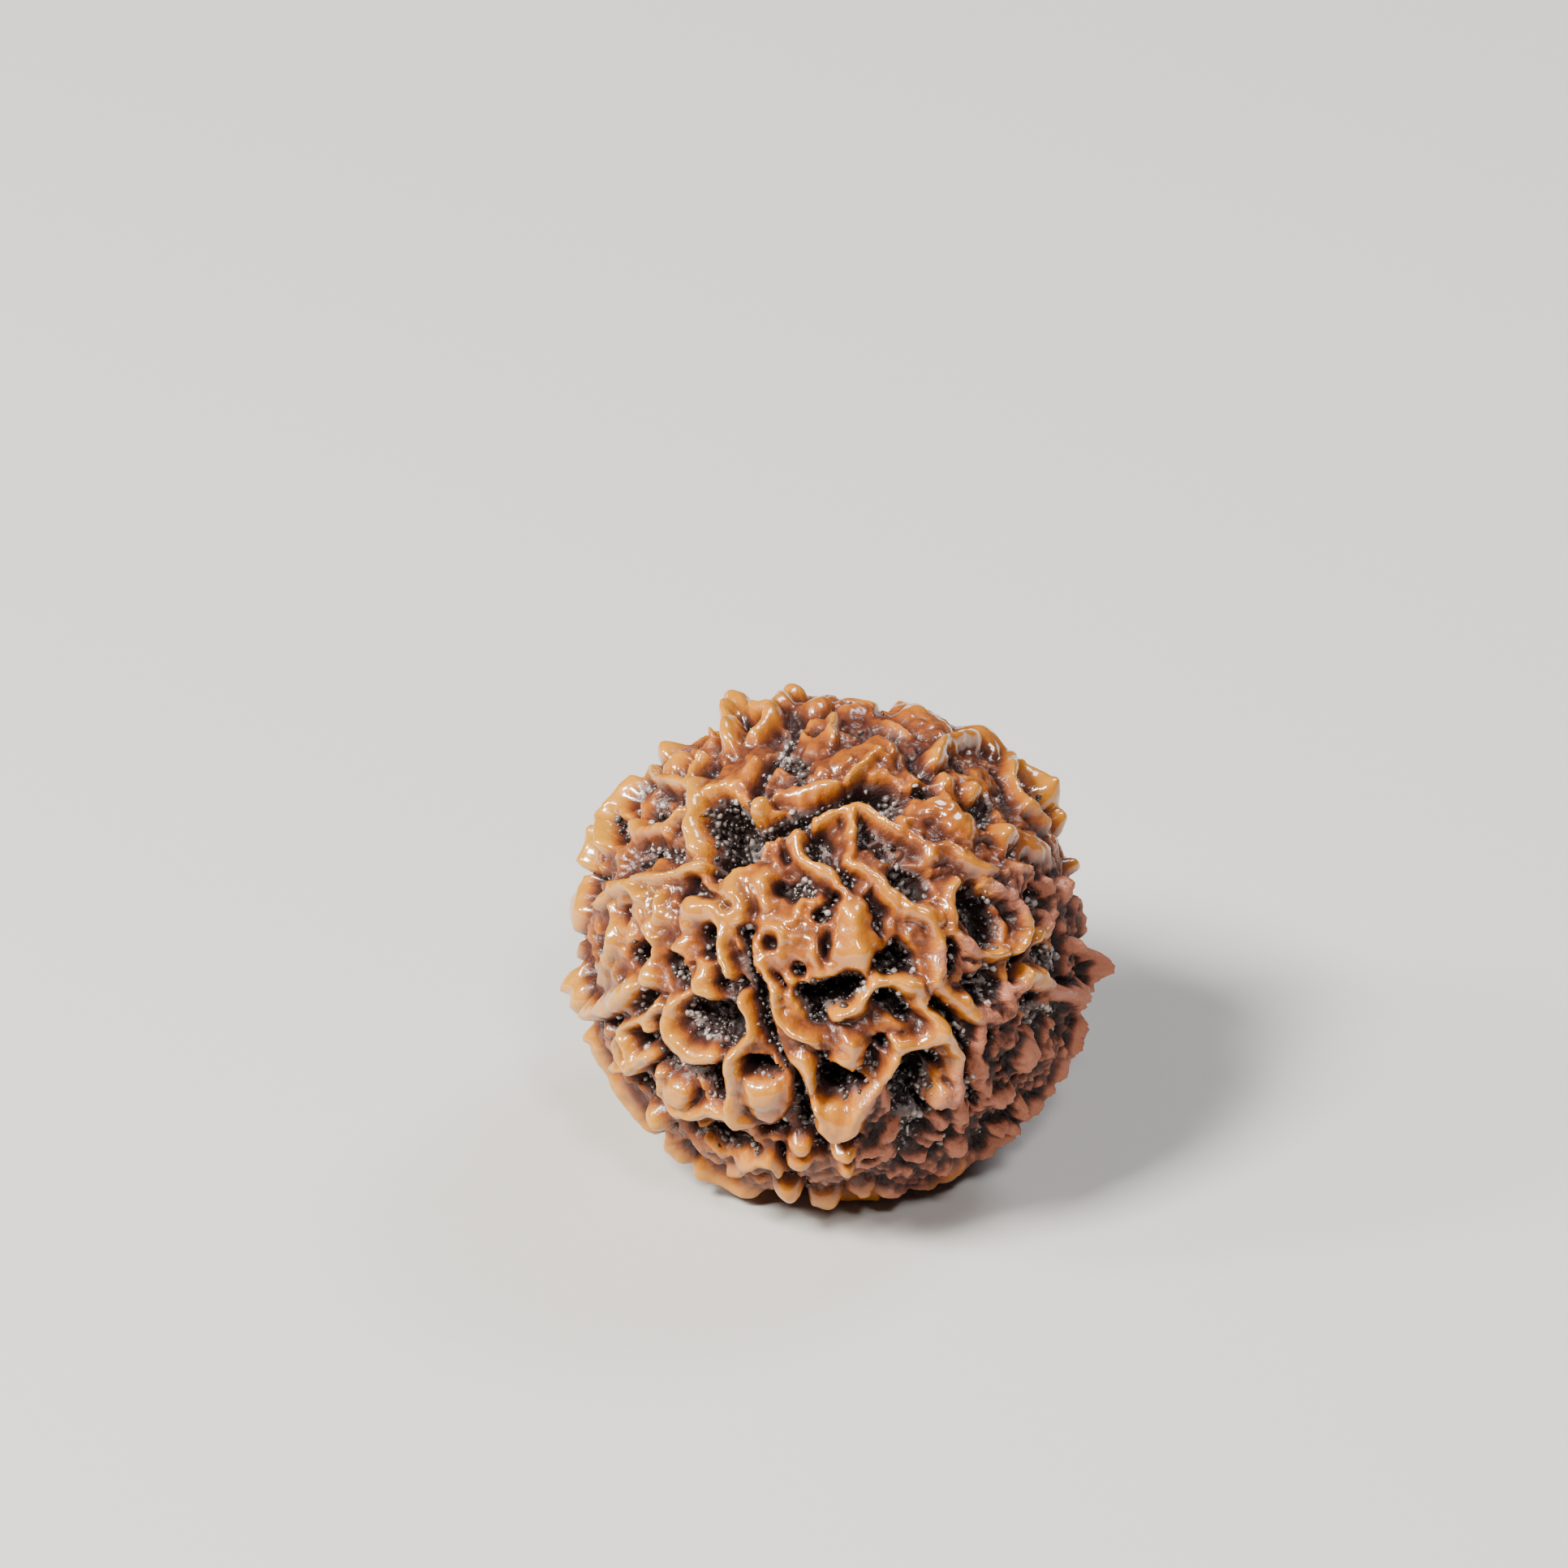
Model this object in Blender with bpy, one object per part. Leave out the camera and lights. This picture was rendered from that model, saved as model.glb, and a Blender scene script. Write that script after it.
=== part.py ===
# Rudraksha bead: one dried fruit stone, grown as one piece, resting on a small flat spot.
# The stone is a slightly flattened ball cut by seed lines that run from a sunken pole,
# and covered with winding ridges, hanging knobs and deep pits.
# The origin is under the middle of the stone, on the surface that it rests on.

import math

import bmesh
import bpy
import numpy as np
from mathutils import Vector, noise

MM = 0.001

# Body of the stone, in millimetres
BODY_RADIUS = 9.4
CENTRE_HEIGHT = 8.7
FULLER_LEFT = 0.15
FULLER_BELOW = 0.12
POLE_FLATTENING = 0.05
POLE_SHARPNESS = 4
FOOT_FLATTENING = 0.09
FOOT_REACH = 0.8

# Seed lines of the unseen side: number, half width and depth in millimetres, how much they
# wander in radians, and the shares of the half width between which their walls rise
SEED_LINES = 6
SEED_LINE_HALF_WIDTH = 0.35
SEED_LINE_DEPTH = 0.8
SEED_LINE_WANDER = 0.12
SEED_LINE_WALL = (0.5, 1.2)

# The flat spot: radius, how much its outline wavers, width of its rounded edge, how far the
# stone around it stays above the resting plane, and the grain that is pressed flat on it
FOOT_RADIUS = 2.9
FOOT_WAVER = 0.08
FOOT_EDGE = 0.5
FOOT_CLEARANCE = 0.15
FOOT_GRAIN = 0.05

# The mesh: rows of squares along each side of the cube that becomes the ball, how often
# the heights are evened out between neighbours and how far, and how many triangles are kept
CUBE_ROWS = 72
EVENING_ROUNDS = 2
EVENING_SHARE = 0.5
KEPT_TRIANGLES = 11400

# The seen side: the stone is looked at from above its front, and each place on it is
# a pixel of the picture, 32 of them to a millimetre at the middle of the stone
VIEW_ELEVATION = math.radians(32)
VIEW_DISTANCE = 600.0
PX_PER_MM = 32.0
CENTRE_PX = (1030, 1163)
SEEN_RADIUS = 9.6
RING_STEPS = 12

# The sunken pole leans left and towards the viewer
POLE = np.array((-0.385, -0.424, 0.82))

# Knobs: pixel, half width and height in millimetres
KNOBS = {
    "left mound": ((790, 1120), 1.9, 0.4),
    "left low mound": ((755, 1190), 1.4, 0.3),
    "amber mound": ((890, 1095), 1.5, 0.4),
    "front shelf mound": ((968, 1150), 1.5, 0.42),
    "low amber mound": ((935, 1345), 0.95, 0.55),
    "left tip": ((694, 1117), 0.8, 1.05),
    "left lower shoulder": ((697, 1220), 0.95, 1.05),
    "left small tip": ((717, 1281), 0.35, 0.9),
    "lower left foot": ((796, 1391), 0.4, 0.65),
    "lower left corner": ((818, 1419), 0.5, 0.8),
    "lower left bulge": ((834, 1432), 0.45, 0.7),
    "hanging left drop": ((970, 1450), 0.52, 0.75),
    "hanging middle drop": ((1015, 1466), 0.62, 0.8),
    "underside right 1": ((1176, 1443), 0.75, 0.62),
    "underside right 2": ((1205, 1433), 0.65, 0.68),
    "underside right 3": ((1228, 1418), 0.55, 0.62),
    "lower right foot": ((1250, 1402), 0.68, 0.78),
    "lower right corner": ((1280, 1372), 0.78, 0.85),
    "lower right pale knob": ((1296, 1345), 0.5, 0.8),
    "right lower bulge": ((1315, 1308), 0.8, 0.85),
    "right tip": ((1363, 1193), 0.36, 1.25),
    "right upper knob": ((1312, 1098), 0.6, 0.75),
    "right round knob": ((1330, 1058), 0.42, 0.75),
    "upper right shoulder": ((1317, 1000), 0.5, 1.15),
    "upper right corner": ((1306, 961), 0.75, 1.55),
    "crown left of middle": ((1005, 866), 0.6, 0.5),
    "crown tip": ((974, 848), 0.6, 1.05),
    "upper left tower": ((900, 849), 0.52, 1.4),
    "upper left bead": ((873, 893), 0.25, 0.7),
    "upper left knob": ((822, 922), 0.55, 0.9),
    "upper left inner knob": ((836, 940), 0.5, 0.7),
    "tower foot bead": ((862, 932), 0.38, 0.75),
    "pole upper bead": ((936, 982), 0.5, 0.75),
    "high right pink knob": ((1195, 965), 0.5, 0.6),
    "high right orange knob": ((1165, 955), 0.45, 0.5),
    "high small knob": ((1118, 1005), 0.4, 0.5),
    "lower left cream knob": ((840, 1342), 0.58, 0.75),
    "lower left amber knob": ((815, 1370), 0.5, 0.75),
    "lower front amber knob": ((946, 1355), 0.72, 0.6),
    "lower right cream knob": ((1157, 1352), 0.62, 0.8),
    "lower right brown knob": ((1185, 1368), 0.55, 0.55),
    "right pink knob 1": ((1235, 1347), 0.5, 0.75),
    "right pink knob 2": ((1257, 1303), 0.52, 0.85),
    "right low knob": ((1237, 1401), 0.4, 0.7),
    "underside knob 1": ((1205, 1417), 0.45, 0.6),
    "underside knob 2": ((1180, 1406), 0.5, 0.6),
    "underside knob 3": ((1068, 1462), 0.5, 0.6),
    "underside knob 4": ((924, 1457), 0.45, 0.6),
    "underside knob 5": ((1100, 1402), 0.6, 0.45),
    "underside knob 6": ((1132, 1424), 0.55, 0.45),
    "underside knob 7": ((1150, 1404), 0.45, 0.5),
    "underside knob 8": ((1108, 1441), 0.45, 0.5),
    "underside knob 9": ((1157, 1436), 0.5, 0.5),
    "left cream knob": ((800, 1204), 0.45, 0.6),
    "left inner knob": ((803, 1262), 0.4, 0.6),
    "loop knob": ((1028, 1371), 0.6, 0.75),
    "left drop top": ((990, 1404), 0.42, 0.65),
    "left drop": ((990, 1424), 0.45, 0.75),
    "right drop top": ((1042, 1413), 0.42, 0.6),
    "right drop": ((1044, 1430), 0.45, 0.75),
    "underside left post": ((872, 1436), 0.5, 0.7),
    "right cream hump": ((1233, 1023), 0.62, 0.75),
    "high right cream hump": ((1160, 991), 0.72, 0.55),
    "high right cream hump end": ((1181, 1009), 0.8, 0.6),
    "middle big knob top": ((1045, 1120), 0.72, 0.68),
    "middle big knob": ((1052, 1146), 0.88, 0.74),
    "middle big knob foot": ((1046, 1174), 0.85, 0.72),
    "crown right hump": ((1217, 908), 1.2, 0.9),
    "crown middle hump": ((1143, 884), 1.35, 0.62),
}

# Ridges: half width, height and the pixels that the crest passes
RIDGES = {
    "lower left edge": (0.6, 0.7, ((733, 1295), (745, 1325), (763, 1362), (774, 1384))),
    "underside left edge": (0.42, 0.75, ((868, 1452), (900, 1457), (930, 1464))),
    "underside middle edge": (0.4, 0.55, ((1036, 1477), (1072, 1473))),
    "underside right edge": (0.55, 0.6, ((1092, 1460), (1150, 1455))),
    "right lower edge": (0.36, 1.0, ((1333, 1262), (1337, 1296))),
    "right middle edge": (0.5, 0.55, ((1330, 1112), (1337, 1152))),
    "right brow": (0.5, 0.85, ((1258, 948), (1305, 958))),
    "crown low hump": (0.6, 0.3, ((1040, 868), (1065, 867))),
    "upper left brow": (0.6, 1.05, ((790, 951), (765, 970), (755, 986))),
    "left upper edge": (0.42, 0.95, ((750, 996), (745, 1018), (754, 1040))),
    "left second edge": (0.42, 1.1, ((737, 1034), (722, 1046), (720, 1058))),
    "left third edge": (0.3, 0.6, ((714, 1078), (716, 1094))),
    "left waist": (0.34, 0.5, ((712, 1156), (711, 1176))),
    "pole left rim": (0.42, 0.75, ((855, 962), (853, 990), (850, 1015), (856, 1042))),
    "left slanting crest": (0.32, 0.55, ((757, 996), (785, 1018), (815, 1018), (838, 1000))),
    "upper left crest": (0.3, 0.6, ((797, 950), (815, 958), (845, 965), (853, 946), (862, 932))),
    "tower crest": (0.45, 1.0, ((900, 862), (899, 888), (898, 915))),
    "pole upper rim": (0.5, 0.45, ((870, 966), (892, 960), (912, 951), (925, 926))),
    "crown tip crest": (0.45, 0.75, ((974, 852), (958, 870), (942, 886), (922, 902))),
    "crown short crest": (0.36, 0.55, ((1027, 878), (1028, 905))),
    "high amber band": (0.8, 0.4, ((1012, 940), (1045, 925), (1090, 912))),
    "high amber crest": (0.34, 0.6, ((1043, 953), (1065, 936), (1083, 918))),
    "above the right line": (0.45, 0.45, ((958, 964), (1000, 966), (1030, 958))),
    "below the right line": (0.34, 0.45, ((1000, 1006), (1030, 997), (1058, 991), (1088, 1001),
        (1114, 1018), (1148, 1040))),
    "middle short post": (0.36, 0.5, ((1045, 1006), (1045, 1046))),
    "middle cream crest": (0.42, 0.65, ((981, 1024), (990, 1045), (1003, 1062), (1025, 1080),
        (1037, 1096))),
    "middle amber crest": (0.34, 0.6, ((1045, 1055), (1075, 1071), (1100, 1100), (1117, 1116))),
    "right amber crest": (0.46, 0.65, ((1120, 1117), (1145, 1126), (1158, 1150), (1155, 1188))),
    "left of big knob": (0.36, 0.5, ((986, 1104), (984, 1124), (972, 1138))),
    "front line right bank": (0.2, 0.6, ((939, 1184), (948, 1212), (951, 1236), (962, 1256),
        (980, 1270), (1004, 1280))),
    "front amber shelf": (0.5, 0.45, ((945, 1144), (968, 1157), (1000, 1157), (1010, 1185))),
    "front pit right bank": (0.45, 0.5, ((1077, 1208), (1060, 1234), (1036, 1250))),
    "amber shoulder": (0.65, 0.6, ((933, 1080), (945, 1112))),
    "amber shoulder left": (0.45, 0.6, ((898, 1066), (903, 1095), (909, 1130))),
    "front line left bank": (0.42, 0.6, ((885, 1146), (888, 1180), (897, 1197))),
    "left amber knob": (0.65, 0.65, ((852, 1112), (880, 1120), (893, 1130))),
    "left cream crest": (0.3, 0.7, ((757, 1093), (780, 1086), (806, 1080), (835, 1071), (868, 1062))),
    "round pit left bank": (0.42, 0.65, ((848, 1228), (831, 1245), (831, 1270), (850, 1290),
        (880, 1297))),
    "round pit post": (0.45, 0.6, ((864, 1190), (858, 1208), (868, 1228))),
    "left bright crest": (0.5, 0.8, ((738, 1241), (760, 1228), (785, 1214))),
    "left low crest": (0.36, 0.6, ((775, 1268), (795, 1252), (815, 1240))),
    "left thin post": (0.24, 0.6, ((757, 1120), (760, 1150), (755, 1188))),
    "left short brow": (0.34, 0.65, ((745, 1111), (770, 1094), (793, 1103))),
    "left bright post": (0.36, 0.65, ((815, 1100), (812, 1122), (800, 1136), (804, 1150))),
    "left inner post": (0.4, 0.45, ((803, 1166), (797, 1190))),
    "left amber slope": (0.5, 0.45, ((850, 1122), (841, 1150), (831, 1165))),
    "low left brow": (0.3, 0.6, ((768, 1310), (790, 1304), (812, 1296))),
    "low left bank": (0.36, 0.6, ((822, 1318), (823, 1340), (840, 1358), (870, 1364), (905, 1366),
        (925, 1376))),
    "front line low bank": (0.45, 0.7, ((908, 1298), (906, 1322), (905, 1352), (915, 1372))),
    "underside shelf": (0.36, 0.7, ((902, 1430), (920, 1424), (940, 1418), (958, 1422), (966, 1434))),
    "small hanging post": (0.42, 0.65, ((988, 1302), (995, 1325), (1000, 1340))),
    "loop": (0.4, 0.75, ((1008, 1360), (1013, 1378), (1030, 1385), (1049, 1373), (1075, 1343),
        (1092, 1316), (1102, 1299))),
    "right hollow rim": (0.34, 0.65, ((1060, 1230), (1077, 1212), (1100, 1207), (1127, 1214),
        (1143, 1240), (1154, 1264))),
    "big hanging knob": (0.62, 0.65, ((1045, 1284), (1038, 1302))),
    "dark pit right bank": (0.32, 0.75, ((1158, 1272), (1174, 1298), (1179, 1330), (1170, 1356))),
    "right line right bank": (0.42, 0.45, ((1206, 1286), (1213, 1316), (1214, 1345))),
    "right low hook": (0.36, 0.75, ((1228, 1386), (1248, 1382), (1257, 1355))),
    "high right rim": (0.45, 0.75, ((1150, 928), (1178, 914), (1215, 915), (1240, 932), (1249, 960),
        (1265, 992), (1288, 1015))),
    "right long crest": (0.42, 0.6, ((1150, 1047), (1170, 1043), (1196, 1062), (1227, 1070),
        (1262, 1064))),
    "right amber mass": (0.55, 0.45, ((1250, 1078), (1247, 1102))),
    "right pit left bank": (0.36, 0.55, ((1176, 1078), (1168, 1104), (1168, 1132), (1182, 1156),
        (1208, 1174), (1237, 1174))),
    "right pit right bank": (0.36, 0.6, ((1215, 1088), (1240, 1102), (1256, 1122), (1266, 1146),
        (1252, 1168))),
    "far right pit bank": (0.42, 0.55, ((1290, 1085), (1304, 1112), (1297, 1140), (1281, 1155))),
    "right tip crest": (0.28, 0.9, ((1320, 1166), (1337, 1182), (1358, 1192))),
    "right tip low crest": (0.28, 0.75, ((1322, 1224), (1340, 1212), (1358, 1195))),
    "right bank of the right line": (0.42, 0.65, ((1150, 1204), (1172, 1228), (1205, 1250),
        (1240, 1247))),
    "right pink slope": (0.5, 0.6, ((1290, 1212), (1264, 1202), (1247, 1224), (1250, 1246))),
    "far right corner": (0.42, 0.65, ((1300, 1216), (1325, 1223), (1331, 1250))),
    "right lower cream post": (0.4, 0.5, ((1207, 1256), (1211, 1278))),
    "above the dark pit": (0.5, 0.7, ((1106, 1286), (1132, 1284), (1156, 1270))),
    "tower right shoulder": (0.36, 0.75, ((914, 866), (928, 878), (944, 878))),
    "round pit right bank": (0.38, 0.65, ((915, 1228), (925, 1248), (924, 1272), (910, 1296))),
    "right cream slope": (0.75, 0.5, ((1255, 1030), (1275, 1038), (1292, 1052))),
}

# Rings: middle pixel, radius of the ring, half width and height
RINGS = {
    "front left small ring": ((948, 1164), 0.52, 0.28, 0.5),
    "low left ring": ((780, 1291), 0.6, 0.24, 0.65),
    "underside ring": ((1075, 1420), 0.5, 0.3, 0.45),
}

# Pits: radius, depth and the pixels that the floor passes
PITS = {
    "pole": (1.0, 2.1, ((890, 990), (905, 1010), (893, 1042))),
    "pole right side": (0.5, 1.2, ((915, 985), (928, 1012))),
    "right line": (0.42, 1.3, ((948, 1012), (985, 992), (1025, 984), (1062, 970))),
    "right line end": (0.7, 1.4, ((1080, 965), (1092, 962))),
    "high dark slot": (0.36, 0.95, ((1135, 965), (1148, 966))),
    "high right hole": (0.34, 1.0, ((1176, 925), (1186, 934))),
    "high right hollow": (0.42, 1.2, ((1193, 987), (1202, 988))),
    "high right crumbled hollow": (0.65, 0.7, ((1217, 975), (1215, 1003))),
    "upper right hollow": (0.5, 1.15, ((1268, 977), (1285, 985), (1299, 1002))),
    "upper seed line": (0.34, 0.55, ((925, 962), (944, 932), (962, 905), (982, 878))),
    "crown hole": (0.36, 1.0, ((1004, 888), (1010, 889))),
    "crown dish": (0.55, 0.35, ((1063, 888),)),
    "crown crumbled hollow": (0.5, 0.6, ((985, 943),)),
    "upper left dish": (0.42, 0.75, ((830, 977),)),
    "upper left slot": (0.24, 0.65, ((794, 997), (818, 1003))),
    "left high hole": (0.34, 0.95, ((764, 1011), (771, 1022))),
    "left seed line": (0.6, 0.9, ((785, 1050), (787, 1062))),
    "left seed line rim side": (0.34, 0.6, ((805, 1042), (830, 1044))),
    "left slot": (0.26, 0.6, ((730, 1077), (742, 1078))),
    "left hole": (0.5, 1.1, ((770, 1127),)),
    "left dark hole": (0.5, 1.15, ((782, 1172), (791, 1161))),
    "left crumbled slot": (0.36, 0.7, ((733, 1150), (741, 1172))),
    "left smooth dish": (0.62, 0.75, ((722, 1207),)),
    "left crumbled hollow": (0.5, 0.75, ((822, 1184), (834, 1206))),
    "beside the front line": (0.45, 0.9, ((868, 1150), (864, 1172))),
    "left crease": (0.22, 0.75, ((838, 1098), (858, 1089), (878, 1098), (896, 1114))),
    "round pit": (1.0, 1.15, ((872, 1256), (892, 1262))),
    "front seed line": (0.23, 1.05, ((912, 1142), (922, 1180), (930, 1215), (940, 1252), (956, 1286),
        (974, 1322), (983, 1352), (990, 1384))),
    "front seed line crumbs": (0.3, 0.45, ((888, 1207), (900, 1225))),
    "left low crumbs": (0.36, 0.6, ((800, 1227), (788, 1243))),
    "low left ring hole": (0.36, 1.1, ((780, 1291),)),
    "low left hole": (0.52, 1.2, ((795, 1329), (805, 1340))),
    "low left crescent": (0.5, 1.15, ((846, 1308), (872, 1314), (891, 1338), (893, 1352))),
    "low black hole": (0.72, 1.7, ((892, 1402), (903, 1399))),
    "low crumbled hole": (0.42, 1.0, ((858, 1396),)),
    "low notch left": (0.22, 0.7, ((830, 1383),)),
    "low notch right": (0.22, 0.75, ((848, 1376),)),
    "front left hollow": (0.48, 1.15, ((930, 1312), (945, 1318))),
    "low slot": (0.34, 0.9, ((942, 1391), (964, 1393))),
    "low small hole": (0.2, 0.7, ((930, 1410),)),
    "under the shelf": (0.36, 0.8, ((925, 1445), (945, 1447))),
    "loop pit": (0.8, 1.6, ((1025, 1322), (1037, 1338))),
    "beside the loop pit": (0.34, 1.2, ((1084, 1284),)),
    "dark pit": (0.82, 1.8, ((1132, 1322), (1118, 1345), (1122, 1368))),
    "dark pit right end": (0.36, 1.2, ((1153, 1312),)),
    "underside ring hole": (0.28, 0.95, ((1075, 1420),)),
    "small ring hole": (0.3, 0.65, ((948, 1165),)),
    "front pit upper end": (0.4, 1.2, ((977, 1193),)),
    "front pit left end": (0.5, 1.4, ((982, 1222),)),
    "front pit": (0.68, 1.8, ((1000, 1232), (1025, 1218), (1048, 1208))),
    "front pit low end": (0.5, 1.4, ((1006, 1252),)),
    "middle dark pit": (0.76, 1.6, ((1102, 1180), (1109, 1186))),
    "big knob hole": (0.3, 0.55, ((1026, 1167),)),
    "above the big knob": (0.34, 1.0, ((1026, 1103), (1009, 1123))),
    "middle crumbled hollow": (0.45, 0.6, ((962, 1083), (990, 1091))),
    "middle slot": (0.3, 0.55, ((1073, 1019), (1093, 1043))),
    "middle crumbled slot": (0.3, 0.55, ((1000, 1028), (1011, 1046))),
    "right crumbled pit": (0.8, 0.95, ((1112, 1072), (1130, 1082))),
    "right small hole": (0.32, 0.95, ((1212, 1091), (1221, 1092))),
    "far right pit": (0.6, 1.1, ((1282, 1100), (1284, 1126))),
    "right pit": (0.85, 1.35, ((1203, 1110), (1212, 1128), (1222, 1144))),
    "right shining pit": (0.45, 1.35, ((1173, 1162), (1174, 1188))),
    "right hollow": (0.48, 1.25, ((1255, 1182), (1254, 1198))),
    "right low hollow": (0.44, 1.05, ((1203, 1226), (1212, 1226))),
    "ring pit": (0.45, 0.9, ((1102, 1234), (1114, 1246))),
    "right seed line": (0.32, 1.15, ((1147, 1233), (1170, 1257), (1184, 1290), (1192, 1340),
        (1198, 1380))),
    "right black pit": (0.52, 1.3, ((1283, 1240), (1272, 1262))),
    "right low slot": (0.36, 0.95, ((1228, 1275),)),
    "far right dish": (0.4, 0.6, ((1310, 1246),)),
    "far right crumbled hollow": (0.6, 0.75, ((1290, 1178), (1303, 1190))),
    "far right slot": (0.2, 0.6, ((1290, 1206), (1325, 1213))),
    "far right small hole": (0.22, 0.65, ((1297, 1077),)),
    "low right hole": (0.36, 0.95, ((1268, 1345),)),
    "low right small hole": (0.22, 0.8, ((1232, 1371),)),
    "low right slot": (0.26, 0.95, ((1204, 1352), (1206, 1366))),
    "low right inner slot": (0.26, 0.8, ((1253, 1332),)),
    "between the drops": (0.34, 1.0, ((1016, 1404), (1020, 1418))),
    "left of the drops": (0.24, 0.8, ((962, 1412), (978, 1438))),
    "underside hollow": (0.85, 0.5, ((1120, 1402), (1140, 1415))),
    "under the loop": (0.22, 0.8, ((1012, 1402), (1030, 1405), (1056, 1400))),
    "lower left gap": (0.36, 0.9, ((850, 1410), (857, 1432))),
    "lower left corner gap": (0.26, 0.6, ((808, 1404),)),
    "hanging gap": (0.26, 0.6, ((992, 1452), (997, 1466))),
    "left edge notch": (0.3, 0.6, ((718, 1070), (708, 1074))),
    "left waist notch": (0.32, 0.6, ((716, 1146), (702, 1148))),
    "left shoulder notch": (0.3, 0.5, ((744, 1026), (732, 1024))),
}

# The unseen side follows the same growth: cells with a pit or a knob in each, and ridges
# between them that run out in places, where the pits beside them join into a valley
GROWTH_CELLS = 290
CELL_JITTER = 0.085
CELL_RIDGE_HALF_WIDTH = 0.95
CELL_RIDGE_HEIGHT = 0.8
CELL_RIDGE_GAPS = (-0.4, 0.1)
CELL_VALLEY_DEPTH = 0.45
CELL_PIT_DEPTH = (0.35, 1.5)
CELL_PIT_WALL = (0.3, 0.9)
CELL_KNOB_HEIGHT = 1.0
CELL_KNOB_RADIUS = 1.0
CELL_KNOB_SIZES = (0.55, 1.25)
CELL_KNOB_EDGE = 0.5
KNOB_SHARE = 0.36
GROWTH_SEED = 11

# How the seen side hands over to the unseen one, by the height of each place towards the viewer
UNSEEN_FROM = (-0.12, 0.12)
FAR_FROM = (-0.5, -0.1)
EDGE_SHARE = 0.4
BARE_SHARE = 0.5
BARE_BELOW = 0.25

# Profiles: how much wider a ridge is at its foot than its half width, how soft ridges and
# blunt knobs run out, how sharply they are kept apart where they meet, the shares of a
# pit's radius between which its wall rises, and the heights that keep a pit off a ridge
SKIRT = 1.2
RIDGE_SOFTNESS = 1.4
KNOB_SOFTNESS = 0.6
UNION_POWER = 4.0
PIT_WALL = (0.6, 1.1)
PROTECTED_FROM = (0.15, 0.75)

# Irregular growth: pairs of waves to the millimetre and reach or height in millimetres
WARPS = ((0.55, 0.3), (1.5, 0.13))
LUMPS = ((0.8, 0.2), (2.1, 0.17))
CREST_SMOOTHNESS = 0.65
SMOOTH_FROM = (0.1, 0.5)
CRUMBLING = ((1.3, 0.2), (2.7, 0.28))
SWELLING = 0.45
UNEVENNESS = 0.4
IRREGULARITY_WAVES = 0.9
HOLLOW_DEPTH = 0.6
DRY_DROP = 0.65
DRY_PATCHES = (0.3, 0.5)
DRY_FROM = (0.5, 0.9)
SLOPE_CRUMBLING = 0.3
SLOPE_BELOW = (0.3, 0.9)

# Where each noise is read, so that no two of them agree
WARP_PLACES = (3.1, 7.9, 12.3)
CELL_RIDGE_PLACE = 5.0
SEED_LINE_PLACE = 21.0
FOOT_PLACE = 31.0
LUMP_PLACE = 41.0
UNEVENNESS_PLACE = 61.0
SWELLING_PLACE = 71.0
DRY_PLACE = 81.0
CELL_RIDGE_WAVES = 4.0
SEED_LINE_WAVES = 2.5
FOOT_WAVES = 6.0
PLACE_TURN = (1.0, 1.7, -2.3)


def unit(vectors):
    return vectors / np.linalg.norm(vectors, axis=-1, keepdims=True)


def smooth_step(low, high, values):
    share = np.clip((values - low) / (high - low), 0.0, 1.0)
    return share * share * (3.0 - 2.0 * share)


def view_axes():
    right = np.array((1.0, 0.0, 0.0))
    up = np.array((0.0, math.sin(VIEW_ELEVATION), math.cos(VIEW_ELEVATION)))
    toward = np.array((0.0, -math.cos(VIEW_ELEVATION), math.sin(VIEW_ELEVATION)))
    return right, up, toward


def from_photo(pixel):
    """Direction from the middle of the stone to the place seen at a pixel."""
    right, up, toward = view_axes()
    across = (pixel[0] - CENTRE_PX[0]) / PX_PER_MM
    above = (CENTRE_PX[1] - pixel[1]) / PX_PER_MM
    reach = math.hypot(across, above)
    nearness = math.sqrt(max(SEEN_RADIUS ** 2 - reach ** 2, 0.0))
    closer = 1.0 - nearness / VIEW_DISTANCE
    return unit((across * right + above * up) * closer + nearness * toward)


def distance_to_path(points, path):
    """Distance in millimetres from each unit direction to a chain of directions."""
    nearest = np.full(len(points), np.inf)
    if len(path) == 1:
        return np.linalg.norm(points - path[0], axis=1) * SEEN_RADIUS
    for start, end in zip(path[:-1], path[1:]):
        run = end - start
        share = np.clip((points - start) @ run / (run @ run), 0.0, 1.0)
        gap = np.linalg.norm(points - start - share[:, None] * run, axis=1)
        nearest = np.minimum(nearest, gap * SEEN_RADIUS)
    return nearest


def ring_path(pixel, radius):
    """Closed chain of directions around a place."""
    middle = from_photo(pixel)
    side = unit(np.cross(middle, (0.0, 0.0, 1.0)))
    rise = np.cross(side, middle)
    reach = radius / SEEN_RADIUS
    chain = []
    for step in range(RING_STEPS + 1):
        turn = 2.0 * math.pi * step / RING_STEPS
        chain.append(unit(middle + reach * (math.cos(turn) * side + math.sin(turn) * rise)))
    return chain


def rounded(distance, half_width, softness):
    """Share of the full height, from 1 on the crest to 0 at the foot."""
    return np.clip(1.0 - (distance / (half_width * SKIRT)) ** 2, 0.0, None) ** softness


def noise_field(points, waves, place):
    shift = Vector([place * turn for turn in PLACE_TURN])
    return np.array([noise.noise(Vector(point) * waves + shift) for point in points])


def grain_field(points, waves):
    """Small rounded grains: high in the middle of each, low between them."""
    return np.array([0.5 - noise.voronoi(Vector(point) * waves)[0][0] for point in points])


def warped(points):
    """Directions pushed sideways a little, so that no ridge or pit has a ruled outline."""
    millimetres = points * BODY_RADIUS
    for waves, reach in WARPS:
        push = [noise_field(millimetres, waves, place) for place in WARP_PLACES]
        points = points + np.stack(push, axis=1) * reach / BODY_RADIUS
    return unit(points)


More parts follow.
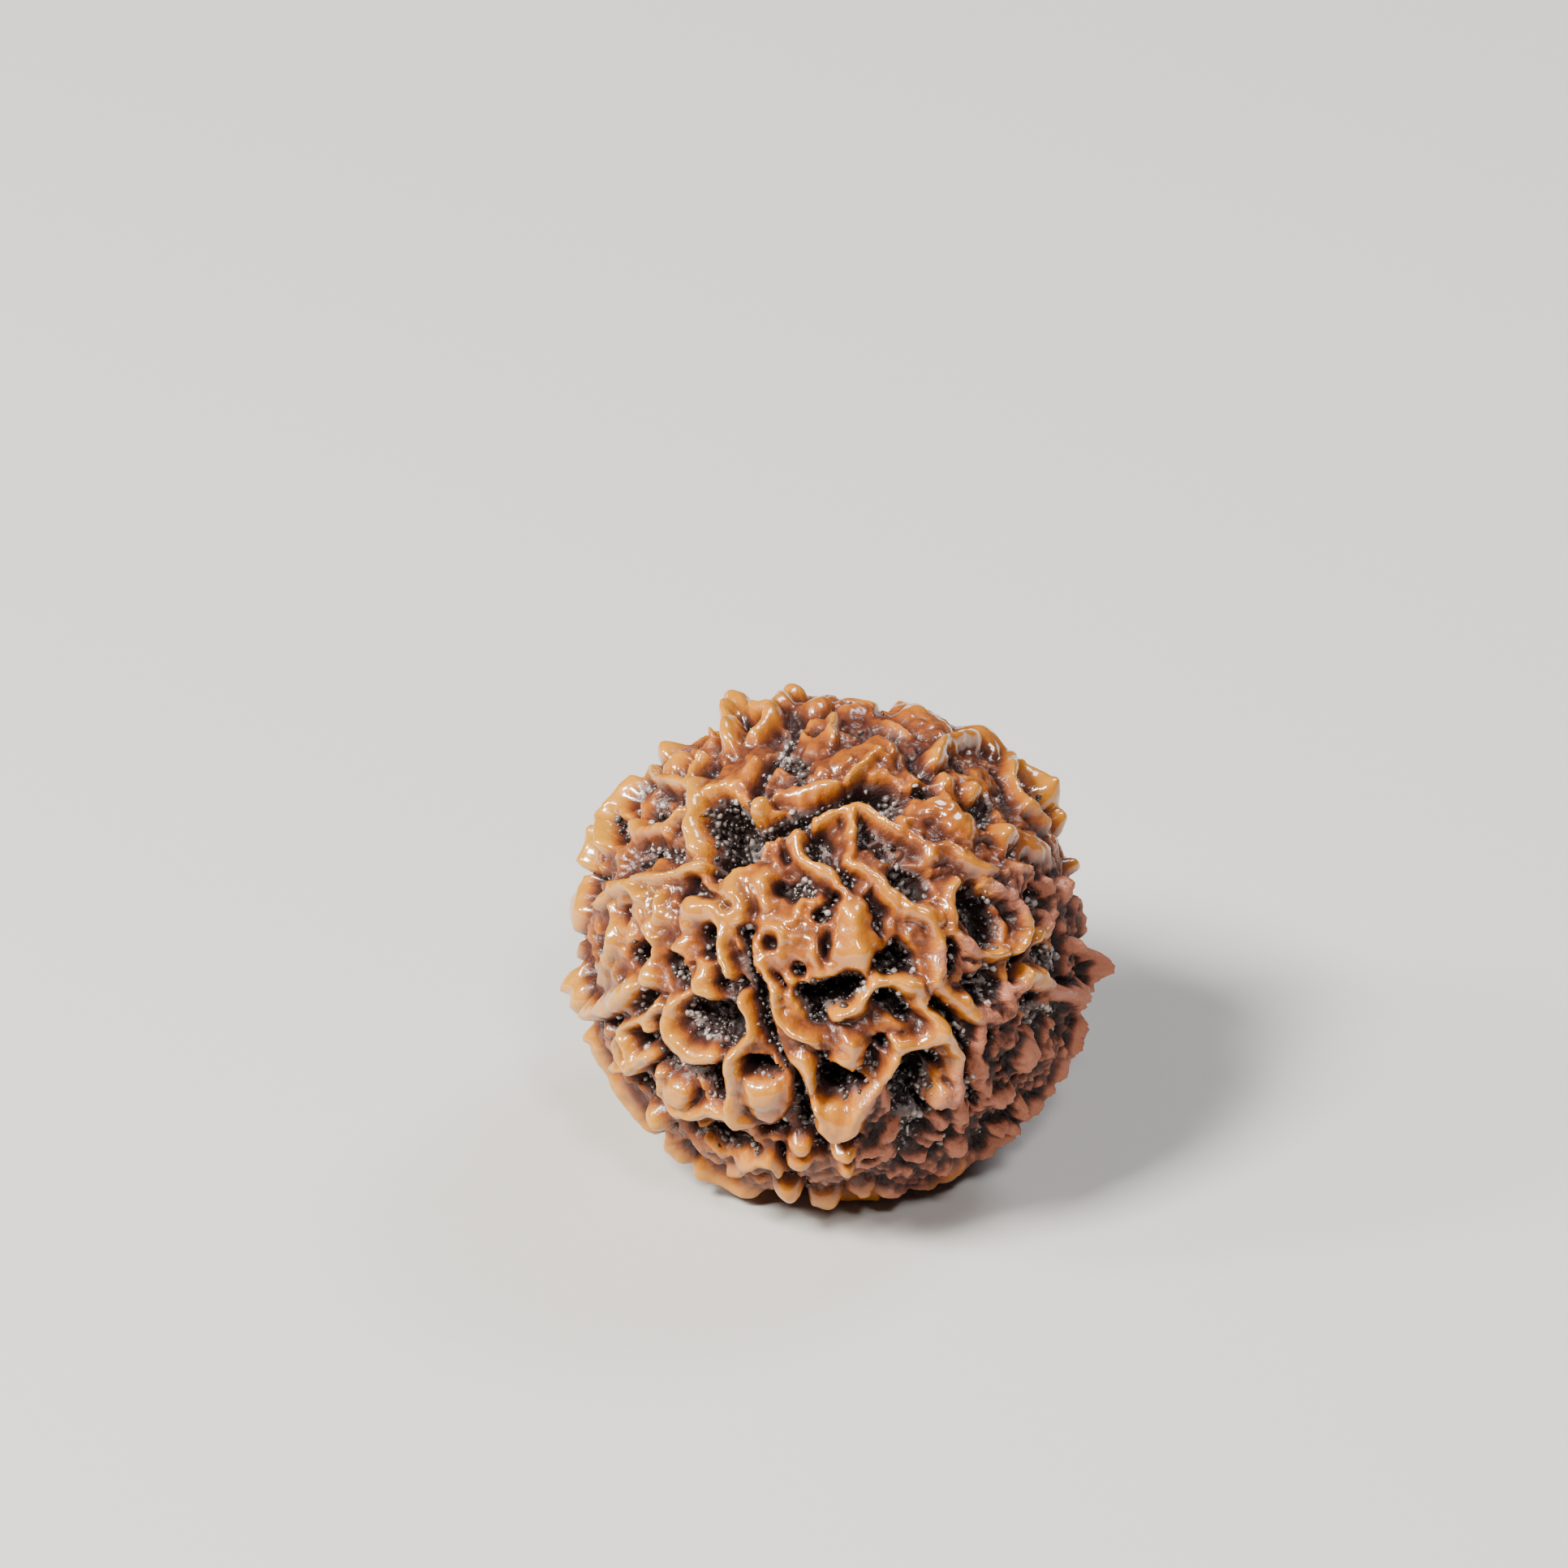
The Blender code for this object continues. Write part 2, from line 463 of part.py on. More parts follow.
def seen_raised(points, swell):
    """Height of the knobs, ridges and rings of the seen side."""
    bumps = []
    for pixel, half_width, height in KNOBS.values():
        bumps.append(([from_photo(pixel)], half_width, height, KNOB_SOFTNESS))
    for half_width, height, pixels in RIDGES.values():
        bumps.append(([from_photo(pixel) for pixel in pixels], half_width, height, RIDGE_SOFTNESS))
    for pixel, radius, half_width, height in RINGS.values():
        bumps.append((ring_path(pixel, radius), half_width, height, RIDGE_SOFTNESS))
    total = np.zeros(len(points))
    for path, half_width, height, softness in bumps:
        bump = height * rounded(distance_to_path(points, path) * swell, half_width, softness)
        total += bump ** UNION_POWER
    return total ** (1.0 / UNION_POWER)


def seen_sunken(points, swell):
    """Depth of the pits of the seen side."""
    deepest = np.zeros(len(points))
    for radius, depth, pixels in PITS.values():
        distance = distance_to_path(points, [from_photo(pixel) for pixel in pixels]) * swell
        deepest = np.maximum(deepest, depth * (1.0 - smooth_step(*PIT_WALL, distance / radius)))
    return deepest


def cell_middles():
    """Evenly spread directions, each shifted a little, one for every growth cell."""
    steps = np.arange(GROWTH_CELLS)
    heights = 1.0 - 2.0 * (steps + 0.5) / GROWTH_CELLS
    turns = steps * math.pi * (3.0 - math.sqrt(5.0))
    level = np.sqrt(1.0 - heights ** 2)
    middles = np.stack((level * np.cos(turns), level * np.sin(turns), heights), axis=1)
    shifts = np.random.default_rng(GROWTH_SEED).normal(0.0, CELL_JITTER, middles.shape)
    return unit(middles + shifts)


def grown_relief(points):
    """Height and depth of the unseen side, cell by cell."""
    middles = cell_middles()
    kinds = np.random.default_rng(GROWTH_SEED + 1).random((len(middles), 2))
    gaps = np.sqrt(np.clip(2.0 - 2.0 * points @ middles.T, 0.0, None)) * BODY_RADIUS
    order = np.argpartition(gaps, 1, axis=1)[:, :2]
    pair = np.take_along_axis(gaps, order, axis=1)
    nearest = pair.min(axis=1)
    owner = order[np.arange(len(points)), pair.argmin(axis=1)]
    edge = pair.max(axis=1) - nearest
    is_knob = kinds[owner, 0] < KNOB_SHARE
    # ridges run out in places, and the pits beside them join into a valley
    whole = smooth_step(*CELL_RIDGE_GAPS, noise_field(points, CELL_RIDGE_WAVES, CELL_RIDGE_PLACE))
    ridge = CELL_RIDGE_HEIGHT * whole * rounded(edge, CELL_RIDGE_HALF_WIDTH, RIDGE_SOFTNESS)
    smallest, largest = CELL_KNOB_SIZES
    size = smallest + (largest - smallest) * kinds[owner, 1]
    knob = size * CELL_KNOB_HEIGHT * rounded(nearest, size * CELL_KNOB_RADIUS, KNOB_SOFTNESS)
    knob = np.where(is_knob, knob * smooth_step(0.0, CELL_KNOB_EDGE, edge), 0.0)
    shallow, deep = CELL_PIT_DEPTH
    depth = shallow + (deep - shallow) * kinds[owner, 1]
    sunken = np.where(is_knob, 0.0, depth * smooth_step(*CELL_PIT_WALL, edge))
    sunken = np.maximum(sunken, CELL_VALLEY_DEPTH * (1.0 - whole))
    return np.maximum(ridge, knob), sunken


def seed_line_share(points):
    """1 along the seed lines that run from the pole round the stone, 0 away from them."""
    pole = unit(POLE)
    side = unit(np.cross(pole, (0.0, 1.0, 0.0)))
    rise = np.cross(pole, side)
    across = points @ side
    along = points @ rise
    wander = SEED_LINE_WANDER * noise_field(points, SEED_LINE_WAVES, SEED_LINE_PLACE)
    around = np.arctan2(along, across) + wander
    spacing = 2.0 * math.pi / SEED_LINES
    offset = (around + 0.5 * spacing) % spacing - 0.5 * spacing
    distance = np.abs(offset) * np.hypot(across, along) * BODY_RADIUS
    return 1.0 - smooth_step(*SEED_LINE_WALL, distance / SEED_LINE_HALF_WIDTH)


def body_radius(points):
    right, up, _ = view_axes()
    pole_share = np.clip(points @ unit(POLE), 0.0, 1.0) ** POLE_SHARPNESS
    foot_share = smooth_step(FOOT_REACH, 1.0, -points[:, 2])
    flattening = 1.0 - POLE_FLATTENING * pole_share - FOOT_FLATTENING * foot_share
    return BODY_RADIUS * flattening + points @ (-FULLER_LEFT * right - FULLER_BELOW * up)


def dry_share(points, millimetres):
    """1 where the skin is dry and crumbling, to the right and below, 0 elsewhere."""
    right, up, _ = view_axes()
    patch_waves, patch_height = DRY_PATCHES
    patches = patch_height * noise_field(millimetres, patch_waves, DRY_PLACE)
    return smooth_step(*DRY_FROM, points @ (right - DRY_DROP * up) + patches)


def stone_relief(points):
    """Height of the surface over the body, in millimetres, along each direction."""
    toward = view_axes()[2]
    unseen = 1.0 - smooth_step(*UNSEEN_FROM, points @ toward)
    far = 1.0 - smooth_step(*FAR_FROM, points @ toward)
    millimetres = points * BODY_RADIUS
    moved = warped(points)
    swell = 1.0 + SWELLING * noise_field(millimetres, IRREGULARITY_WAVES, SWELLING_PLACE)
    grown_high, grown_low = grown_relief(moved)
    seen_high = seen_raised(moved, swell)
    seen_low = seen_sunken(moved, 2.0 - swell)
    bare = BARE_SHARE * (1.0 - np.clip((seen_high + seen_low) / BARE_BELOW, 0.0, 1.0))
    grown = np.maximum(unseen, bare)
    raised = np.maximum(seen_high, grown_high * grown * (EDGE_SHARE + (1.0 - EDGE_SHARE) * far))
    sunken = np.maximum(seen_low, grown_low * grown)
    raised = raised * (1.0 + UNEVENNESS * noise_field(millimetres, IRREGULARITY_WAVES, UNEVENNESS_PLACE))
    relief = raised - sunken * (1.0 - smooth_step(*PROTECTED_FROM, raised))
    line = unseen * seed_line_share(points) * np.clip(1.0 + relief, 0.0, 1.0)
    relief = relief - SEED_LINE_DEPTH * line
    hollow = np.clip(-relief / HOLLOW_DEPTH, 0.0, 1.0)
    slope = SLOPE_CRUMBLING * (1.0 - smooth_step(*SLOPE_BELOW, raised))
    crumbling = np.maximum(np.maximum(hollow, dry_share(points, millimetres)), slope)
    smooth = 1.0 - CREST_SMOOTHNESS * smooth_step(*SMOOTH_FROM, raised)
    for waves, height in LUMPS:
        relief = relief + height * smooth * noise_field(millimetres, waves, LUMP_PLACE)
    for waves, height in CRUMBLING:
        relief = relief + height * grain_field(millimetres, waves) * crumbling
    return relief


def rest_on_foot(points, radius):
    """Bring the surface to the resting plane over the foot, and keep the rest clear of it."""
    below = np.clip(-points[:, 2], 1e-6, None)
    plane = CENTRE_HEIGHT / below
    spread = np.hypot(points[:, 0], points[:, 1]) * plane
    outline = FOOT_RADIUS * (1.0 + FOOT_WAVER * noise_field(points, FOOT_WAVES, FOOT_PLACE))
    under = points[:, 2] < 0.0
    share = np.where(under, 1.0 - smooth_step(0.0, FOOT_EDGE, spread - outline), 0.0)
    radius = radius * (1.0 - share) + np.where(share > 0.0, plane, 0.0) * share
    lowest = (CENTRE_HEIGHT - FOOT_CLEARANCE * (1.0 - share)) / below
    return np.where(under, np.minimum(radius, lowest), radius)


def cube_ball(rows):
    """Mesh of a cube cut into rows and blown up to a ball of radius 1."""
    ball = bmesh.new()
    bmesh.ops.create_cube(ball, size=2.0)
    bmesh.ops.subdivide_edges(ball, edges=ball.edges[:], cuts=rows - 1, use_grid_fill=True)
    for vert in ball.verts:
        even = Vector([math.tan(math.pi / 4.0 * part) for part in vert.co])
        vert.co = even.normalized()
    bmesh.ops.triangulate(ball, faces=ball.faces[:])
    return ball


def evened(ball, heights):
    """Heights drawn part of the way to the mean of their neighbours."""
    ball.verts.ensure_lookup_table()
    ends = np.array([[vert.index for vert in edge.verts] for edge in ball.edges])
    ends = np.concatenate((ends, ends[:, ::-1]))
    count = np.bincount(ends[:, 0], minlength=len(heights))
    for _ in range(EVENING_ROUNDS):
        mean = np.bincount(ends[:, 0], weights=heights[ends[:, 1]], minlength=len(heights)) / count
        heights = heights + EVENING_SHARE * (mean - heights)
    return heights


def stone_material():
    material = bpy.data.materials.new("oiled stone")
    material.use_nodes = True
    shader = material.node_tree.nodes["Principled BSDF"]
    shader.inputs["Base Color"].default_value = (0.36, 0.14, 0.045, 1.0)
    shader.inputs["Roughness"].default_value = 0.38
    shader.inputs["Metallic"].default_value = 0.0
    return material


def fine_mesh():
    ball = cube_ball(CUBE_ROWS)
    points = unit(np.array([vert.co[:] for vert in ball.verts]))
    radius = rest_on_foot(points, body_radius(points) + evened(ball, stone_relief(points)))
    places = points * radius[:, None]
    places[:, 2] += CENTRE_HEIGHT
    for vert, place in zip(ball.verts, places * MM):
        vert.co = place
    mesh = bpy.data.meshes.new("fine stone")
    ball.to_mesh(mesh)
    ball.free()
    return mesh


def make_bead():
    """The stone in fewer triangles than it was shaped in, with its foot exactly flat."""
    fine = bpy.data.objects.new("fine stone", fine_mesh())
    bpy.context.scene.collection.objects.link(fine)
    thinning = fine.modifiers.new("fewer triangles", "DECIMATE")
    thinning.ratio = KEPT_TRIANGLES / len(fine.data.polygons)
    ready = fine.evaluated_get(bpy.context.evaluated_depsgraph_get())
    mesh = bpy.data.meshes.new_from_object(ready)
    bpy.data.objects.remove(fine, do_unlink=True)
    mesh.name = "rudraksha_bead"
    for vert in mesh.vertices:
        if vert.co.z < FOOT_GRAIN * MM:
            vert.co.z = 0.0
    mesh.shade_smooth()
    mesh.materials.append(stone_material())
    bead = bpy.data.objects.new("rudraksha_bead", mesh)
    bpy.context.scene.collection.objects.link(bead)
    return bead


for old in list(bpy.data.objects):
    bpy.data.objects.remove(old, do_unlink=True)

make_bead()
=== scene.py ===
import math

import bmesh
import bpy
import numpy as np
from mathutils import Euler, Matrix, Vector, noise


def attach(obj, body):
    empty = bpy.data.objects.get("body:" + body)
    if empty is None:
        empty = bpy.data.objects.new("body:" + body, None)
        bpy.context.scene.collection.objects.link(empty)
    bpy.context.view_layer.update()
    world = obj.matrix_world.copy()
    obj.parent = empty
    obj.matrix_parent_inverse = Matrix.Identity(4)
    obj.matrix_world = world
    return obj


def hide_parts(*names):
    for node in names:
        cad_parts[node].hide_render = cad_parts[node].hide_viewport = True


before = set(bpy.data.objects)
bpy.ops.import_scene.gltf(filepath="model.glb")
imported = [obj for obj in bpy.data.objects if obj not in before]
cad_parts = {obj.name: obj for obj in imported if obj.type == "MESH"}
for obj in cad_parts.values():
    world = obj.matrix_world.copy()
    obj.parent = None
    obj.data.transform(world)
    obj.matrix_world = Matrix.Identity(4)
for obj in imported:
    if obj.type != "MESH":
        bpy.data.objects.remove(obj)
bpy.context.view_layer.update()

mm = 0.001

# where the picture is taken from, and how its pixels lie on the stone
view = {
    "elevation": 32.0,          # degrees above the floor
    "distance": 600.0,          # mm from the middle of the stone
    "pxPerMm": 32.0,
    "framePx": 1932,
    "stoneCentrePx": (1030, 1163),
    "seenRadius": 9.6,          # mm, the surface that the pixels are laid on
    "sensorWidth": 36.0,        # mm
    "sees": (0.01, 50.0),       # m, the nearest and the farthest
}

# the body of the stone, in mm
body = {
    "radius": 9.4,
    "centreHeight": 8.7,
    "fullerLeft": 0.15,
    "fullerBelow": 0.12,
    "pole": (-0.385, -0.424, 0.82),
    "poleFlattening": 0.05,
    "poleSharpness": 4,
    "footFlattening": 0.09,
    "footReach": 0.8,
    "footRadius": 2.9,
    "footWaver": 0.08,
    "footEdge": 0.5,
    "footClearance": 0.15,
    "seedLines": 6,
    "seedLineHalfWidth": 0.35,
    "seedLineDepth": 0.8,
    "seedLineWander": 0.12,     # radians
    "seedLineWall": (0.5, 1.2),
    "rows": 128,
    "ringSteps": 12,
    "skirt": 1.2,               # how much wider a ridge is at its foot than at its crest
    "ridgeSoftness": 1.4,
    "knobSoftness": 0.6,
    "swelling": 0.45,           # how much ridges and pits widen and narrow on their way
    "unevenness": 0.4,          # how much crests rise and fall
    "unionPower": 4.0,
    "pitWall": (0.6, 1.1),      # shares of a pit's radius between which its wall rises
    "protects": (0.15, 0.75),   # mm of ridge, from the first that holds a pit back to full hold
    "hollowDepth": 0.6,
    # waves to the mm, and the reach, height or depth of each in mm
    "warps": ((0.55, 0.3), (1.5, 0.13), (3.4, 0.05)),
    "lumps": ((0.8, 0.2), (2.1, 0.17), (3.8, 0.06)),
    "creases": ((0.8, 0.14), (1.5, 0.1)),
    "crumbling": ((1.3, 0.2), (2.7, 0.28), (4.6, 0.16)),
    "crestSmoothness": 0.65,
    "smoothFrom": (0.1, 0.5),
    "creaseSharpness": 7.0,
    "creasesBelow": (0.3, 0.75),
    "slopeCrumbling": 0.3,
    "slopeBelow": (0.3, 0.9),
    "dryDrop": 0.65,            # how far down the dry side leans
    "dryPatches": 0.5,
    "dryFrom": (0.5, 0.9),
    "oilFrom": (0.0, 0.5),      # mm of relief
    "oilBelow": 0.4,            # share of the oil that is left underneath
    "oilAbove": (-0.6, 0.1),    # shares of the radius between which it comes back
    "crumbsAbove": (0.5, 1.0),  # mm over the floor, none under the foot
    "evening": (1, 0.25),       # rounds and share
    "hollowEvening": (2, 0.5),
    "dipEvening": (40, 0.6),
    "topEvening": (8, 0.6),
}

# where the noise of each unevenness is read, so that no two agree
uneven = {
    "away": (1.0, 1.7, -2.3),   # the way from one reading to the next
    # waves to the mm, and the reading
    "crests": (0.9, 61.0),
    "swelling": (0.9, 71.0),
    "dryPatches": (0.3, 81.0),
    # waves to the radius of the stone, and the reading
    "growthRidges": (4.0, 5.0),
    "seedLines": (2.5, 21.0),
    "foot": (6.0, 31.0),
    # the readings only: their waves stand beside their heights in body
    "lumps": 41.0,
    "creases": 51.0,
    "warps": (3.1, 7.9, 12.3),
}

# growth of the side that the picture doesn't show, cell by cell, in mm
growth = {
    "cells": 290,
    "jitter": 0.085,
    "seed": 11,
    "ridgeHalfWidth": 0.95,
    "ridgeHeight": 0.8,
    "ridgeGaps": (-0.4, 0.1),   # noise between which a ridge grows from nothing to whole
    "valleyDepth": 0.45,
    "pitDepth": (0.35, 1.5),
    "pitWall": (0.3, 0.9),
    "knobHeight": 1.0,
    "knobRadius": 1.0,
    "knobSizes": (0.55, 1.25),
    "knobEdge": 0.5,
    "knobShare": 0.36,
    "unseenFrom": (-0.12, 0.12),
    "farFrom": (-0.5, -0.1),
    "edgeShare": 0.4,
    "bareShare": 0.5,
    "bareBelow": 0.25,
}

# knobs: pixel, half width and height in mm
knobs = {
    "left mound": ((790, 1120), 1.9, 0.4),
    "left low mound": ((755, 1190), 1.4, 0.3),
    "amber mound": ((890, 1095), 1.5, 0.4),
    "front shelf mound": ((968, 1150), 1.5, 0.42),
    "low amber mound": ((935, 1345), 0.95, 0.55),
    "left tip": ((694, 1117), 0.8, 1.05),
    "left lower shoulder": ((697, 1220), 0.95, 1.05),
    "left small tip": ((717, 1281), 0.35, 0.9),
    "lower left foot": ((796, 1391), 0.4, 0.65),
    "lower left corner": ((818, 1419), 0.5, 0.8),
    "lower left bulge": ((834, 1432), 0.45, 0.7),
    "hanging left drop": ((970, 1450), 0.52, 0.75),
    "hanging middle drop": ((1015, 1466), 0.62, 0.8),
    "underside right 1": ((1176, 1443), 0.75, 0.62),
    "underside right 2": ((1205, 1433), 0.65, 0.68),
    "underside right 3": ((1228, 1418), 0.55, 0.62),
    "lower right foot": ((1250, 1402), 0.68, 0.78),
    "lower right corner": ((1280, 1372), 0.78, 0.85),
    "lower right pale knob": ((1296, 1345), 0.5, 0.8),
    "right lower bulge": ((1315, 1308), 0.8, 0.85),
    "right tip": ((1363, 1193), 0.36, 1.25),
    "right upper knob": ((1312, 1098), 0.6, 0.75),
    "right round knob": ((1330, 1058), 0.42, 0.75),
    "upper right shoulder": ((1317, 1000), 0.5, 1.15),
    "upper right corner": ((1306, 961), 0.75, 1.55),
    "crown left of middle": ((1005, 866), 0.6, 0.5),
    "crown tip": ((974, 848), 0.6, 1.05),
    "upper left tower": ((900, 849), 0.52, 1.4),
    "upper left bead": ((873, 893), 0.25, 0.7),
    "upper left knob": ((822, 922), 0.55, 0.9),
    "upper left inner knob": ((836, 940), 0.5, 0.7),
    "tower foot bead": ((862, 932), 0.38, 0.75),
    "pole upper bead": ((936, 982), 0.5, 0.75),
    "high right pink knob": ((1195, 965), 0.5, 0.6),
    "high right orange knob": ((1165, 955), 0.45, 0.5),
    "high small knob": ((1118, 1005), 0.4, 0.5),
    "lower left cream knob": ((840, 1342), 0.58, 0.75),
    "lower left amber knob": ((815, 1370), 0.5, 0.75),
    "lower front amber knob": ((946, 1355), 0.72, 0.6),
    "lower right cream knob": ((1157, 1352), 0.62, 0.8),
    "lower right brown knob": ((1185, 1368), 0.55, 0.55),
    "right pink knob 1": ((1235, 1347), 0.5, 0.75),
    "right pink knob 2": ((1257, 1303), 0.52, 0.85),
    "right low knob": ((1237, 1401), 0.4, 0.7),
    "underside knob 1": ((1205, 1417), 0.45, 0.6),
    "underside knob 2": ((1180, 1406), 0.5, 0.6),
    "underside knob 3": ((1068, 1462), 0.5, 0.6),
    "underside knob 4": ((924, 1457), 0.45, 0.6),
    "underside knob 5": ((1100, 1402), 0.6, 0.45),
    "underside knob 6": ((1132, 1424), 0.55, 0.45),
    "underside knob 7": ((1150, 1404), 0.45, 0.5),
    "underside knob 8": ((1108, 1441), 0.45, 0.5),
    "underside knob 9": ((1157, 1436), 0.5, 0.5),
    "left cream knob": ((800, 1204), 0.45, 0.6),
    "left inner knob": ((803, 1262), 0.4, 0.6),
    "loop knob": ((1028, 1371), 0.6, 0.75),
    "left drop top": ((990, 1404), 0.42, 0.65),
    "left drop": ((990, 1424), 0.45, 0.75),
    "right drop top": ((1042, 1413), 0.42, 0.6),
    "right drop": ((1044, 1430), 0.45, 0.75),
    "underside left post": ((872, 1436), 0.5, 0.7),
    "right cream hump": ((1233, 1023), 0.62, 0.75),
    "high right cream hump": ((1160, 991), 0.72, 0.55),
    "high right cream hump end": ((1181, 1009), 0.8, 0.6),
    "middle big knob top": ((1045, 1120), 0.72, 0.68),
    "middle big knob": ((1052, 1146), 0.88, 0.74),
    "middle big knob foot": ((1046, 1174), 0.85, 0.72),
    "crown right hump": ((1217, 908), 1.2, 0.9),
    "crown middle hump": ((1143, 884), 1.35, 0.62),
}

